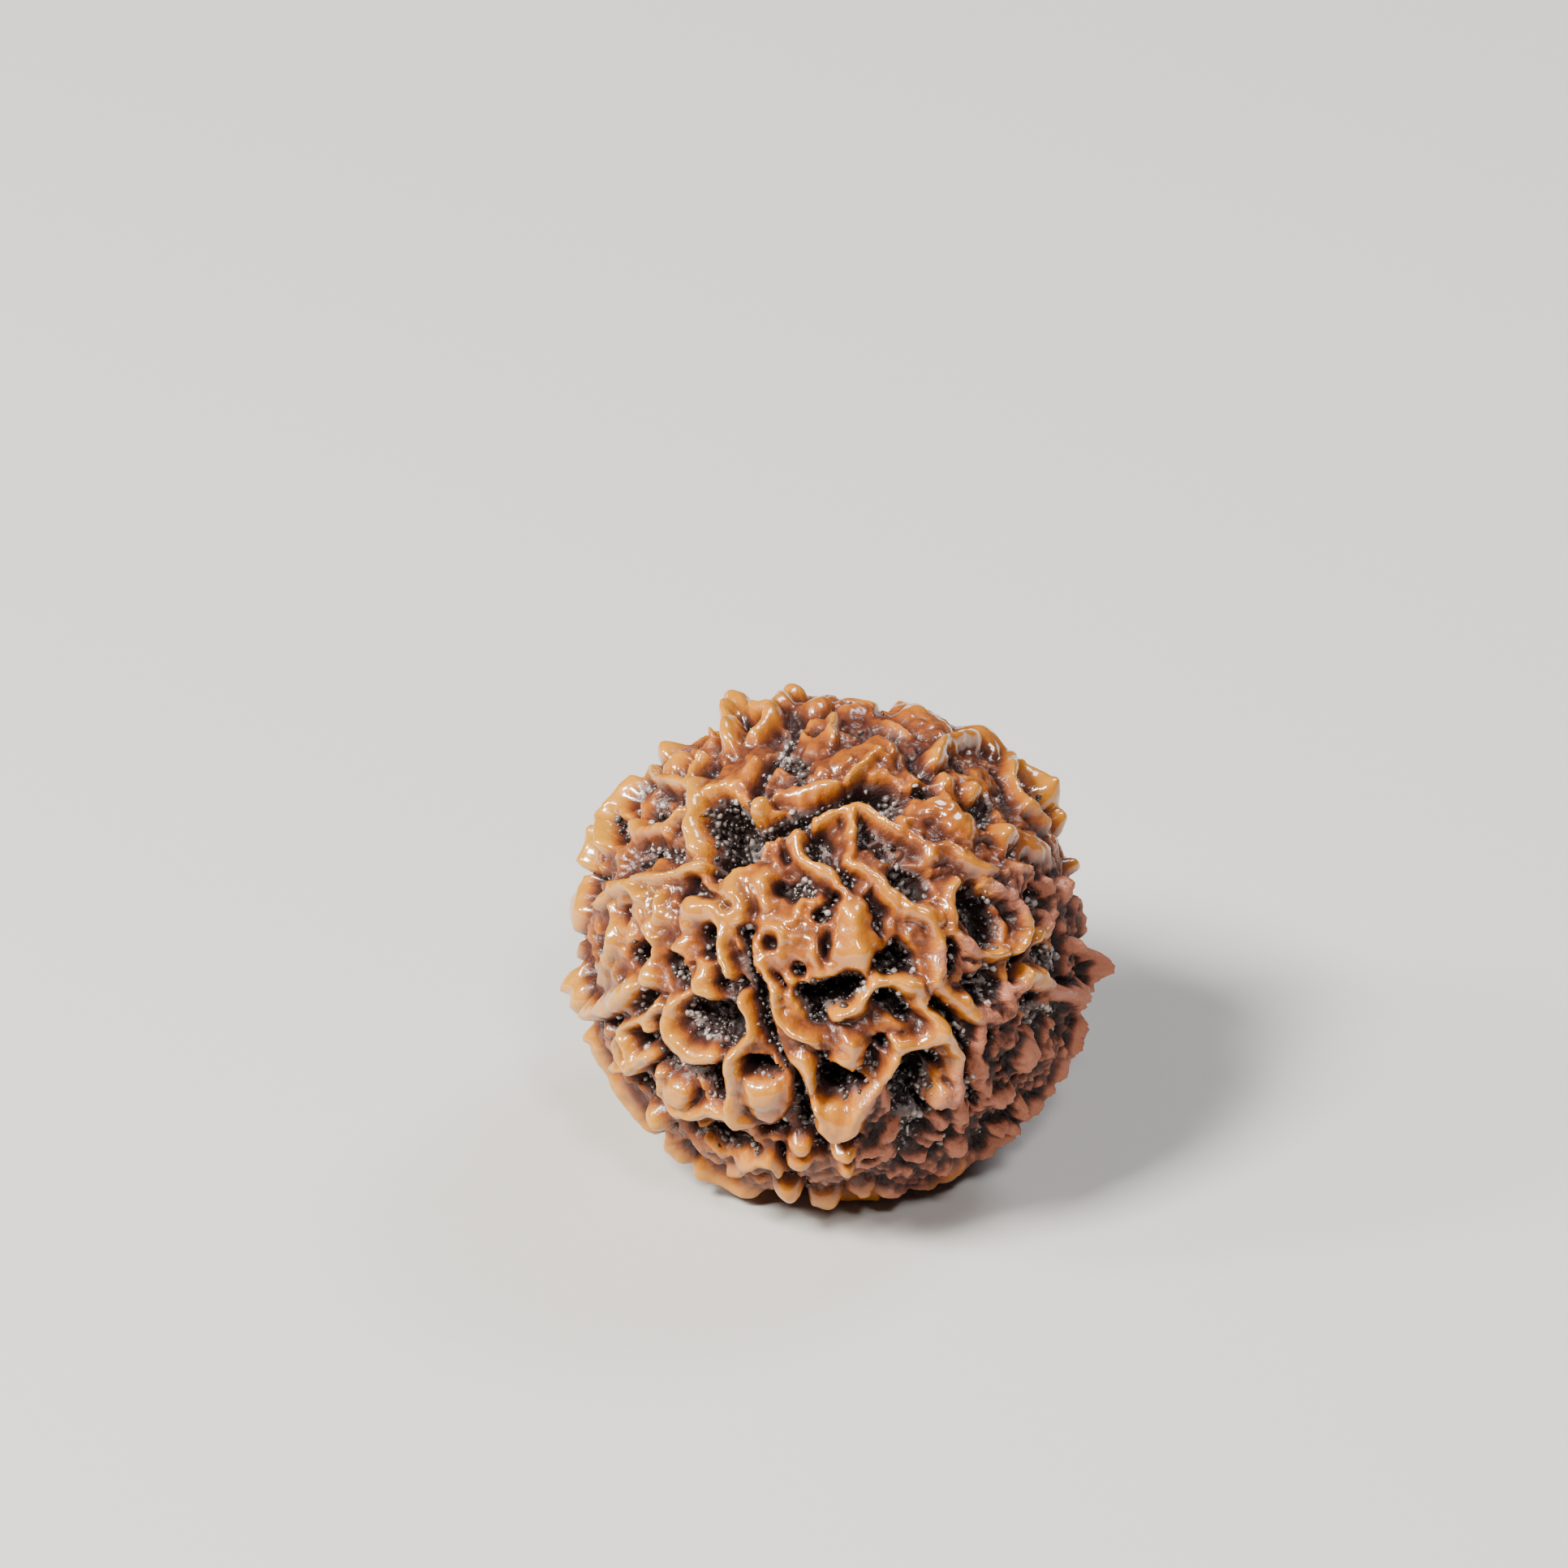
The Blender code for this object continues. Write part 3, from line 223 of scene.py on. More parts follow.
# ridges: half width and height in mm, and the pixels that the crest passes
ridges = {
    "lower left edge": (0.6, 0.7, ((733, 1295), (745, 1325), (763, 1362), (774, 1384))),
    "underside left edge": (0.42, 0.75, ((868, 1452), (900, 1457), (930, 1464))),
    "underside middle edge": (0.4, 0.55, ((1036, 1477), (1072, 1473))),
    "underside right edge": (0.55, 0.6, ((1092, 1460), (1150, 1455))),
    "right lower edge": (0.36, 1.0, ((1333, 1262), (1337, 1296))),
    "right middle edge": (0.5, 0.55, ((1330, 1112), (1337, 1152))),
    "right brow": (0.5, 0.85, ((1258, 948), (1305, 958))),
    "crown low hump": (0.6, 0.3, ((1040, 868), (1065, 867))),
    "upper left brow": (0.6, 1.05, ((790, 951), (765, 970), (755, 986))),
    "left upper edge": (0.42, 0.95, ((750, 996), (745, 1018), (754, 1040))),
    "left second edge": (0.42, 1.1, ((737, 1034), (722, 1046), (720, 1058))),
    "left third edge": (0.3, 0.6, ((714, 1078), (716, 1094))),
    "left waist": (0.34, 0.5, ((712, 1156), (711, 1176))),
    "pole left rim": (0.42, 0.75, ((855, 962), (853, 990), (850, 1015), (856, 1042))),
    "left slanting crest": (0.32, 0.55, ((757, 996), (785, 1018), (815, 1018), (838, 1000))),
    "upper left crest": (0.3, 0.6, ((797, 950), (815, 958), (845, 965), (853, 946), (862, 932))),
    "tower crest": (0.45, 1.0, ((900, 862), (899, 888), (898, 915))),
    "pole upper rim": (0.5, 0.45, ((870, 966), (892, 960), (912, 951), (925, 926))),
    "crown tip crest": (0.45, 0.75, ((974, 852), (958, 870), (942, 886), (922, 902))),
    "crown short crest": (0.36, 0.55, ((1027, 878), (1028, 905))),
    "high amber band": (0.8, 0.4, ((1012, 940), (1045, 925), (1090, 912))),
    "high amber crest": (0.34, 0.6, ((1043, 953), (1065, 936), (1083, 918))),
    "above the right line": (0.45, 0.45, ((958, 964), (1000, 966), (1030, 958))),
    "below the right line": (0.34, 0.45, ((1000, 1006), (1030, 997), (1058, 991), (1088, 1001),
        (1114, 1018), (1148, 1040))),
    "middle short post": (0.36, 0.5, ((1045, 1006), (1045, 1046))),
    "middle cream crest": (0.42, 0.65, ((981, 1024), (990, 1045), (1003, 1062), (1025, 1080),
        (1037, 1096))),
    "middle amber crest": (0.34, 0.6, ((1045, 1055), (1075, 1071), (1100, 1100), (1117, 1116))),
    "right amber crest": (0.46, 0.65, ((1120, 1117), (1145, 1126), (1158, 1150), (1155, 1188))),
    "left of big knob": (0.36, 0.5, ((986, 1104), (984, 1124), (972, 1138))),
    "front line right bank": (0.2, 0.6, ((939, 1184), (948, 1212), (951, 1236), (962, 1256),
        (980, 1270), (1004, 1280))),
    "front amber shelf": (0.5, 0.45, ((945, 1144), (968, 1157), (1000, 1157), (1010, 1185))),
    "front pit right bank": (0.45, 0.5, ((1077, 1208), (1060, 1234), (1036, 1250))),
    "amber shoulder": (0.65, 0.6, ((933, 1080), (945, 1112))),
    "amber shoulder left": (0.45, 0.6, ((898, 1066), (903, 1095), (909, 1130))),
    "front line left bank": (0.42, 0.6, ((885, 1146), (888, 1180), (897, 1197))),
    "left amber knob": (0.65, 0.65, ((852, 1112), (880, 1120), (893, 1130))),
    "left cream crest": (0.3, 0.7, ((757, 1093), (780, 1086), (806, 1080), (835, 1071), (868, 1062))),
    "round pit left bank": (0.42, 0.65, ((848, 1228), (831, 1245), (831, 1270), (850, 1290),
        (880, 1297))),
    "round pit post": (0.45, 0.6, ((864, 1190), (858, 1208), (868, 1228))),
    "left bright crest": (0.5, 0.8, ((738, 1241), (760, 1228), (785, 1214))),
    "left low crest": (0.36, 0.6, ((775, 1268), (795, 1252), (815, 1240))),
    "left thin post": (0.24, 0.6, ((757, 1120), (760, 1150), (755, 1188))),
    "left short brow": (0.34, 0.65, ((745, 1111), (770, 1094), (793, 1103))),
    "left bright post": (0.36, 0.65, ((815, 1100), (812, 1122), (800, 1136), (804, 1150))),
    "left inner post": (0.4, 0.45, ((803, 1166), (797, 1190))),
    "left amber slope": (0.5, 0.45, ((850, 1122), (841, 1150), (831, 1165))),
    "low left brow": (0.3, 0.6, ((768, 1310), (790, 1304), (812, 1296))),
    "low left bank": (0.36, 0.6, ((822, 1318), (823, 1340), (840, 1358), (870, 1364), (905, 1366),
        (925, 1376))),
    "front line low bank": (0.45, 0.7, ((908, 1298), (906, 1322), (905, 1352), (915, 1372))),
    "underside shelf": (0.36, 0.7, ((902, 1430), (920, 1424), (940, 1418), (958, 1422), (966, 1434))),
    "small hanging post": (0.42, 0.65, ((988, 1302), (995, 1325), (1000, 1340))),
    "loop": (0.4, 0.75, ((1008, 1360), (1013, 1378), (1030, 1385), (1049, 1373), (1075, 1343),
        (1092, 1316), (1102, 1299))),
    "right hollow rim": (0.34, 0.65, ((1060, 1230), (1077, 1212), (1100, 1207), (1127, 1214),
        (1143, 1240), (1154, 1264))),
    "big hanging knob": (0.62, 0.65, ((1045, 1284), (1038, 1302))),
    "dark pit right bank": (0.32, 0.75, ((1158, 1272), (1174, 1298), (1179, 1330), (1170, 1356))),
    "right line right bank": (0.42, 0.45, ((1206, 1286), (1213, 1316), (1214, 1345))),
    "right low hook": (0.36, 0.75, ((1228, 1386), (1248, 1382), (1257, 1355))),
    "high right rim": (0.45, 0.75, ((1150, 928), (1178, 914), (1215, 915), (1240, 932), (1249, 960),
        (1265, 992), (1288, 1015))),
    "right long crest": (0.42, 0.6, ((1150, 1047), (1170, 1043), (1196, 1062), (1227, 1070),
        (1262, 1064))),
    "right amber mass": (0.55, 0.45, ((1250, 1078), (1247, 1102))),
    "right pit left bank": (0.36, 0.55, ((1176, 1078), (1168, 1104), (1168, 1132), (1182, 1156),
        (1208, 1174), (1237, 1174))),
    "right pit right bank": (0.36, 0.6, ((1215, 1088), (1240, 1102), (1256, 1122), (1266, 1146),
        (1252, 1168))),
    "far right pit bank": (0.42, 0.55, ((1290, 1085), (1304, 1112), (1297, 1140), (1281, 1155))),
    "right tip crest": (0.28, 0.9, ((1320, 1166), (1337, 1182), (1358, 1192))),
    "right tip low crest": (0.28, 0.75, ((1322, 1224), (1340, 1212), (1358, 1195))),
    "right bank of the right line": (0.42, 0.65, ((1150, 1204), (1172, 1228), (1205, 1250),
        (1240, 1247))),
    "right pink slope": (0.5, 0.6, ((1290, 1212), (1264, 1202), (1247, 1224), (1250, 1246))),
    "far right corner": (0.42, 0.65, ((1300, 1216), (1325, 1223), (1331, 1250))),
    "right lower cream post": (0.4, 0.5, ((1207, 1256), (1211, 1278))),
    "above the dark pit": (0.5, 0.7, ((1106, 1286), (1132, 1284), (1156, 1270))),
    "tower right shoulder": (0.36, 0.75, ((914, 866), (928, 878), (944, 878))),
    "round pit right bank": (0.38, 0.65, ((915, 1228), (925, 1248), (924, 1272), (910, 1296))),
    "right cream slope": (0.75, 0.5, ((1255, 1030), (1275, 1038), (1292, 1052))),
}

# rings: middle pixel, then radius, half width and height in mm
rings = {
    "front left small ring": ((948, 1164), 0.52, 0.28, 0.5),
    "low left ring": ((780, 1291), 0.6, 0.24, 0.65),
    "underside ring": ((1075, 1420), 0.5, 0.3, 0.45),
}

# pits: radius and depth in mm, and the pixels that the floor passes
pits = {
    "pole": (1.0, 2.1, ((890, 990), (905, 1010), (893, 1042))),
    "pole right side": (0.5, 1.2, ((915, 985), (928, 1012))),
    "right line": (0.42, 1.3, ((948, 1012), (985, 992), (1025, 984), (1062, 970))),
    "right line end": (0.7, 1.4, ((1080, 965), (1092, 962))),
    "high dark slot": (0.36, 0.95, ((1135, 965), (1148, 966))),
    "high right hole": (0.34, 1.0, ((1176, 925), (1186, 934))),
    "high right hollow": (0.42, 1.2, ((1193, 987), (1202, 988))),
    "high right crumbled hollow": (0.65, 0.7, ((1217, 975), (1215, 1003))),
    "upper right hollow": (0.5, 1.15, ((1268, 977), (1285, 985), (1299, 1002))),
    "upper seed line": (0.34, 0.55, ((925, 962), (944, 932), (962, 905), (982, 878))),
    "crown hole": (0.36, 1.0, ((1004, 888), (1010, 889))),
    "crown dish": (0.55, 0.35, ((1063, 888),)),
    "crown crumbled hollow": (0.5, 0.6, ((985, 943),)),
    "upper left dish": (0.42, 0.75, ((830, 977),)),
    "upper left slot": (0.24, 0.65, ((794, 997), (818, 1003))),
    "left high hole": (0.34, 0.95, ((764, 1011), (771, 1022))),
    "left seed line": (0.6, 0.9, ((785, 1050), (787, 1062))),
    "left seed line rim side": (0.34, 0.6, ((805, 1042), (830, 1044))),
    "left slot": (0.26, 0.6, ((730, 1077), (742, 1078))),
    "left hole": (0.5, 1.1, ((770, 1127),)),
    "left dark hole": (0.5, 1.15, ((782, 1172), (791, 1161))),
    "left crumbled slot": (0.36, 0.7, ((733, 1150), (741, 1172))),
    "left smooth dish": (0.62, 0.75, ((722, 1207),)),
    "left crumbled hollow": (0.5, 0.75, ((822, 1184), (834, 1206))),
    "beside the front line": (0.45, 0.9, ((868, 1150), (864, 1172))),
    "left crease": (0.22, 0.75, ((838, 1098), (858, 1089), (878, 1098), (896, 1114))),
    "round pit": (1.0, 1.15, ((872, 1256), (892, 1262))),
    "front seed line": (0.23, 1.05, ((912, 1142), (922, 1180), (930, 1215), (940, 1252), (956, 1286),
        (974, 1322), (983, 1352), (990, 1384))),
    "front seed line crumbs": (0.3, 0.45, ((888, 1207), (900, 1225))),
    "left low crumbs": (0.36, 0.6, ((800, 1227), (788, 1243))),
    "low left ring hole": (0.36, 1.1, ((780, 1291),)),
    "low left hole": (0.52, 1.2, ((795, 1329), (805, 1340))),
    "low left crescent": (0.5, 1.15, ((846, 1308), (872, 1314), (891, 1338), (893, 1352))),
    "low black hole": (0.72, 1.7, ((892, 1402), (903, 1399))),
    "low crumbled hole": (0.42, 1.0, ((858, 1396),)),
    "low notch left": (0.22, 0.7, ((830, 1383),)),
    "low notch right": (0.22, 0.75, ((848, 1376),)),
    "front left hollow": (0.48, 1.15, ((930, 1312), (945, 1318))),
    "low slot": (0.34, 0.9, ((942, 1391), (964, 1393))),
    "low small hole": (0.2, 0.7, ((930, 1410),)),
    "under the shelf": (0.36, 0.8, ((925, 1445), (945, 1447))),
    "loop pit": (0.8, 1.6, ((1025, 1322), (1037, 1338))),
    "beside the loop pit": (0.34, 1.2, ((1084, 1284),)),
    "dark pit": (0.82, 1.8, ((1132, 1322), (1118, 1345), (1122, 1368))),
    "dark pit right end": (0.36, 1.2, ((1153, 1312),)),
    "underside ring hole": (0.28, 0.95, ((1075, 1420),)),
    "small ring hole": (0.3, 0.65, ((948, 1165),)),
    "front pit upper end": (0.4, 1.2, ((977, 1193),)),
    "front pit left end": (0.5, 1.4, ((982, 1222),)),
    "front pit": (0.68, 1.8, ((1000, 1232), (1025, 1218), (1048, 1208))),
    "front pit low end": (0.5, 1.4, ((1006, 1252),)),
    "middle dark pit": (0.76, 1.6, ((1102, 1180), (1109, 1186))),
    "big knob hole": (0.3, 0.55, ((1026, 1167),)),
    "above the big knob": (0.34, 1.0, ((1026, 1103), (1009, 1123))),
    "middle crumbled hollow": (0.45, 0.6, ((962, 1083), (990, 1091))),
    "middle slot": (0.3, 0.55, ((1073, 1019), (1093, 1043))),
    "middle crumbled slot": (0.3, 0.55, ((1000, 1028), (1011, 1046))),
    "right crumbled pit": (0.8, 0.95, ((1112, 1072), (1130, 1082))),
    "right small hole": (0.32, 0.95, ((1212, 1091), (1221, 1092))),
    "far right pit": (0.6, 1.1, ((1282, 1100), (1284, 1126))),
    "right pit": (0.85, 1.35, ((1203, 1110), (1212, 1128), (1222, 1144))),
    "right shining pit": (0.45, 1.35, ((1173, 1162), (1174, 1188))),
    "right hollow": (0.48, 1.25, ((1255, 1182), (1254, 1198))),
    "right low hollow": (0.44, 1.05, ((1203, 1226), (1212, 1226))),
    "ring pit": (0.45, 0.9, ((1102, 1234), (1114, 1246))),
    "right seed line": (0.32, 1.15, ((1147, 1233), (1170, 1257), (1184, 1290), (1192, 1340),
        (1198, 1380))),
    "right black pit": (0.52, 1.3, ((1283, 1240), (1272, 1262))),
    "right low slot": (0.36, 0.95, ((1228, 1275),)),
    "far right dish": (0.4, 0.6, ((1310, 1246),)),
    "far right crumbled hollow": (0.6, 0.75, ((1290, 1178), (1303, 1190))),
    "far right slot": (0.2, 0.6, ((1290, 1206), (1325, 1213))),
    "far right small hole": (0.22, 0.65, ((1297, 1077),)),
    "low right hole": (0.36, 0.95, ((1268, 1345),)),
    "low right small hole": (0.22, 0.8, ((1232, 1371),)),
    "low right slot": (0.26, 0.95, ((1204, 1352), (1206, 1366))),
    "low right inner slot": (0.26, 0.8, ((1253, 1332),)),
    "between the drops": (0.34, 1.0, ((1016, 1404), (1020, 1418))),
    "left of the drops": (0.24, 0.8, ((962, 1412), (978, 1438))),
    "underside hollow": (0.85, 0.5, ((1120, 1402), (1140, 1415))),
    "under the loop": (0.22, 0.8, ((1012, 1402), (1030, 1405), (1056, 1400))),
    "lower left gap": (0.36, 0.9, ((850, 1410), (857, 1432))),
    "lower left corner gap": (0.26, 0.6, ((808, 1404),)),
    "hanging gap": (0.26, 0.6, ((992, 1452), (997, 1466))),
    "left edge notch": (0.3, 0.6, ((718, 1070), (708, 1074))),
    "left waist notch": (0.32, 0.6, ((716, 1146), (702, 1148))),
    "left shoulder notch": (0.3, 0.5, ((744, 1026), (732, 1024))),
}


def unit(vectors):
    return vectors / np.linalg.norm(vectors, axis=-1, keepdims=True)


def smoothStep(low, high, values):
    share = np.clip((values - low) / (high - low), 0.0, 1.0)
    return share * share * (3.0 - 2.0 * share)


def viewAxes():
    tilt = math.radians(view["elevation"])
    right = np.array((1.0, 0.0, 0.0))
    up = np.array((0.0, math.sin(tilt), math.cos(tilt)))
    toward = np.array((0.0, -math.cos(tilt), math.sin(tilt)))
    return right, up, toward


def fromPicture(pixel):
    # direction from the middle of the stone to what is seen at a pixel
    right, up, toward = viewAxes()
    across = (pixel[0] - view["stoneCentrePx"][0]) / view["pxPerMm"]
    above = (view["stoneCentrePx"][1] - pixel[1]) / view["pxPerMm"]
    reach = math.hypot(across, above)
    nearness = math.sqrt(max(view["seenRadius"] ** 2 - reach ** 2, 0.0))
    closer = 1.0 - nearness / view["distance"]
    return unit((across * right + above * up) * closer + nearness * toward)


def distanceToPath(points, path):
    # mm from each direction to a chain of directions
    if len(path) == 1:
        return np.linalg.norm(points - path[0], axis=1) * view["seenRadius"]
    nearest = np.full(len(points), np.inf)
    for start, end in zip(path[:-1], path[1:]):
        run = end - start
        share = np.clip((points - start) @ run / (run @ run), 0.0, 1.0)
        gap = np.linalg.norm(points - start - share[:, None] * run, axis=1)
        nearest = np.minimum(nearest, gap * view["seenRadius"])
    return nearest


def ringPath(pixel, radius):
    middle = fromPicture(pixel)
    side = unit(np.cross(middle, (0.0, 0.0, 1.0)))
    rise = np.cross(side, middle)
    reach = radius / view["seenRadius"]
    turns = np.linspace(0.0, 2.0 * math.pi, body["ringSteps"] + 1)
    return [unit(middle + reach * (math.cos(turn) * side + math.sin(turn) * rise)) for turn in turns]


def rounded(distance, halfWidth, softness):
    # height of a ridge from its crest out: round on top, running out softly at the foot
    return np.clip(1.0 - (distance / (halfWidth * body["skirt"])) ** 2, 0.0, None) ** softness


def noiseField(points, scale, offset):
    shift = Vector([part * offset for part in uneven["away"]])
    return np.array([noise.noise(Vector(point) * scale + shift) for point in points])


def gritField(points, scale):
    # small rounded grains: high in the middle of each cell, low between cells
    return np.array([0.5 - noise.voronoi(Vector(point) * scale)[0][0] for point in points])


def warped(points):
    # directions pushed sideways a little, so that no ridge or pit has a ruled outline
    millimetres = points * body["radius"]
    for scale, reach in body["warps"]:
        push = [noiseField(millimetres, scale, offset) for offset in uneven["warps"]]
        points = points + np.stack(push, axis=1) * reach / body["radius"]
    return unit(points)


def seenRaised(points, swell):
    total = np.zeros(len(points))
    blunt, soft = body["knobSoftness"], body["ridgeSoftness"]
    bumps = [([fromPicture(pixel)], width, height, blunt) for pixel, width, height in knobs.values()]
    bumps += [([fromPicture(pixel) for pixel in path], width, height, soft)
              for width, height, path in ridges.values()]
    bumps += [(ringPath(pixel, radius), width, height, soft)
              for pixel, radius, width, height in rings.values()]
    for path, width, height, softness in bumps:
        bump = height * rounded(distanceToPath(points, path) * swell, width, softness)
        total += bump ** body["unionPower"]
    return total ** (1.0 / body["unionPower"])


def seenSunken(points, swell):
    deepest = np.zeros(len(points))
    for radius, depth, path in pits.values():
        distance = distanceToPath(points, [fromPicture(pixel) for pixel in path]) * swell
        deepest = np.maximum(deepest, depth * (1.0 - smoothStep(*body["pitWall"], distance / radius)))
    return deepest


def cellMiddles():
    steps = np.arange(growth["cells"])
    heights = 1.0 - 2.0 * (steps + 0.5) / growth["cells"]
    turns = steps * math.pi * (3.0 - math.sqrt(5.0))
    level = np.sqrt(1.0 - heights ** 2)
    middles = np.stack((level * np.cos(turns), level * np.sin(turns), heights), axis=1)
    shifts = np.random.default_rng(growth["seed"]).normal(0.0, growth["jitter"], middles.shape)
    return unit(middles + shifts)


def grownRelief(points):
    # height and depth of the unseen side: a pit or a knob in each cell, a ridge between cells
    middles = cellMiddles()
    kinds = np.random.default_rng(growth["seed"] + 1).random((len(middles), 2))
    gaps = np.sqrt(np.clip(2.0 - 2.0 * points @ middles.T, 0.0, None)) * body["radius"]
    order = np.argpartition(gaps, 1, axis=1)[:, :2]
    pair = np.take_along_axis(gaps, order, axis=1)
    nearest = pair.min(axis=1)
    owner = order[np.arange(len(points)), pair.argmin(axis=1)]
    edge = pair.max(axis=1) - nearest
    isKnob = kinds[owner, 0] < growth["knobShare"]
    # ridges run out in places, and the pits beside them join into a valley
    whole = smoothStep(*growth["ridgeGaps"], noiseField(points, *uneven["growthRidges"]))
    ridge = rounded(edge, growth["ridgeHalfWidth"], body["ridgeSoftness"])
    ridge = growth["ridgeHeight"] * whole * ridge
    smallest, largest = growth["knobSizes"]
    size = smallest + (largest - smallest) * kinds[owner, 1]
    knob = rounded(nearest, size * growth["knobRadius"], body["knobSoftness"])
    knob = size * growth["knobHeight"] * knob
    knob = np.where(isKnob, knob * smoothStep(0.0, growth["knobEdge"], edge), 0.0)
    shallow, deep = growth["pitDepth"]
    depth = shallow + (deep - shallow) * kinds[owner, 1]
    sunken = np.where(isKnob, 0.0, depth * smoothStep(*growth["pitWall"], edge))
    sunken = np.maximum(sunken, growth["valleyDepth"] * (1.0 - whole))
    return np.maximum(ridge, knob), sunken


def seedLineShare(points):
    # 1 along the lines that run from the pole round the unseen side, 0 away from them
    pole = unit(np.array(body["pole"]))
    side = unit(np.cross(pole, (0.0, 1.0, 0.0)))
    rise = np.cross(pole, side)
    across = points @ side
    along = points @ rise
    wander = body["seedLineWander"] * noiseField(points, *uneven["seedLines"])
    around = np.arctan2(along, across) + wander
    spacing = 2.0 * math.pi / body["seedLines"]
    offset = (around + 0.5 * spacing) % spacing - 0.5 * spacing
    distance = np.abs(offset) * np.hypot(across, along) * body["radius"]
    return 1.0 - smoothStep(*body["seedLineWall"], distance / body["seedLineHalfWidth"])


def bodyRadius(points):
    right, up, _ = viewAxes()
    poleShare = np.clip(points @ unit(np.array(body["pole"])), 0.0, 1.0) ** body["poleSharpness"]
    footShare = smoothStep(body["footReach"], 1.0, -points[:, 2])
    flattening = 1.0 - body["poleFlattening"] * poleShare - body["footFlattening"] * footShare
    fuller = points @ (-body["fullerLeft"] * right - body["fullerBelow"] * up)
    return body["radius"] * flattening + fuller


def stoneRelief(points):
    # height over the body in mm, then how hollow, dry and oiled each place is, from 0 to 1
    right, up, toward = viewAxes()
    unseen = 1.0 - smoothStep(*growth["unseenFrom"], points @ toward)
    far = 1.0 - smoothStep(*growth["farFrom"], points @ toward)
    moved = warped(points)
    grownHigh, grownLow = grownRelief(moved)
    millimetres = points * body["radius"]
    swell = 1.0 + body["swelling"] * noiseField(millimetres, *uneven["swelling"])
    seenHigh = seenRaised(moved, swell)
    seenLow = seenSunken(moved, 2.0 - swell)
    bare = growth["bareShare"] * (1.0 - np.clip((seenHigh + seenLow) / growth["bareBelow"], 0.0, 1.0))
    grown = np.maximum(unseen, bare)
    edgeShare = growth["edgeShare"]
    raised = np.maximum(seenHigh, grownHigh * grown * (edgeShare + (1.0 - edgeShare) * far))
    sunken = np.maximum(seenLow, grownLow * grown)
    raised = raised * (1.0 + body["unevenness"] * noiseField(millimetres, *uneven["crests"]))
    relief = raised - sunken * (1.0 - smoothStep(*body["protects"], raised))
    line = unseen * seedLineShare(points) * np.clip(1.0 + relief, 0.0, 1.0)
    relief = relief - body["seedLineDepth"] * line
    hollow = np.clip(-relief / body["hollowDepth"], 0.0, 1.0)
    smooth = 1.0 - body["crestSmoothness"] * smoothStep(*body["smoothFrom"], raised)
    for scale, height in body["lumps"]:
        relief = relief + height * smooth * noiseField(millimetres, scale, uneven["lumps"])
    for scale, depth in body["creases"]:
        away = body["creaseSharpness"] * np.abs(noiseField(millimetres, scale, uneven["creases"]))
        crease = np.clip(1.0 - away, 0.0, 1.0)
        relief = relief - depth * crease * (1.0 - smoothStep(*body["creasesBelow"], raised))
    # dry crumbling skin in the hollows and to the right, oil on the crests elsewhere
    patches = body["dryPatches"] * noiseField(millimetres, *uneven["dryPatches"])
    dry = smoothStep(*body["dryFrom"], points @ (right - body["dryDrop"] * up) + patches)
    slope = body["slopeCrumbling"] * (1.0 - smoothStep(*body["slopeBelow"], raised))
    crumbling = np.maximum(np.maximum(hollow, dry), slope)
    for scale, height in body["crumbling"]:
        relief = relief + height * gritField(millimetres, scale) * crumbling
    oil = smoothStep(*body["oilFrom"], relief) * (1.0 - dry) * (1.0 - hollow)
    above = smoothStep(*body["oilAbove"], points[:, 2])
    oil = oil * (body["oilBelow"] + (1.0 - body["oilBelow"]) * above)
    return relief, hollow, dry, oil


def restOnFoot(points, radius):
    # the resting plane cuts the foot, and the stone around it stays a little above the plane
    below = np.clip(-points[:, 2], 1e-6, None)
    plane = body["centreHeight"] / below
    spread = np.hypot(points[:, 0], points[:, 1]) * plane
    waver = body["footWaver"] * noiseField(points, *uneven["foot"])
    outline = body["footRadius"] * (1.0 + waver)
    under = points[:, 2] < 0.0
    share = np.where(under, 1.0 - smoothStep(0.0, body["footEdge"], spread - outline), 0.0)
    radius = radius * (1.0 - share) + np.where(share > 0.0, plane, 0.0) * share
    farthest = (body["centreHeight"] - body["footClearance"] * (1.0 - share)) / below
    return np.where(under, np.minimum(radius, farthest), radius)


def cubeBall(rows):
    # a cube cut into rows and blown up to a ball of radius 1
    ball = bmesh.new()
    bmesh.ops.create_cube(ball, size=2.0)
    bmesh.ops.subdivide_edges(ball, edges=ball.edges[:], cuts=rows - 1, use_grid_fill=True)
    for vert in ball.verts:
        vert.co = Vector([math.tan(math.pi / 4.0 * part) for part in vert.co]).normalized()
    return ball


def evened(mesh, values, rounds, share):
    # each value drawn towards the mean of its neighbours
    ends = np.empty(len(mesh.edges) * 2, dtype=np.int64)
    mesh.edges.foreach_get("vertices", ends)
    ends = ends.reshape(-1, 2)
    ends = np.concatenate((ends, ends[:, ::-1]))
    count = np.bincount(ends[:, 0], minlength=len(values))
    for _ in range(rounds):
        mean = np.bincount(ends[:, 0], weights=values[ends[:, 1]], minlength=len(values)) / count
        values = values + share * (mean - values)
    return values


def addAttribute(mesh, name, values):
    attribute = mesh.attributes.new(name, "FLOAT", "POINT")
    attribute.data.foreach_set("value", values.astype(np.float32))


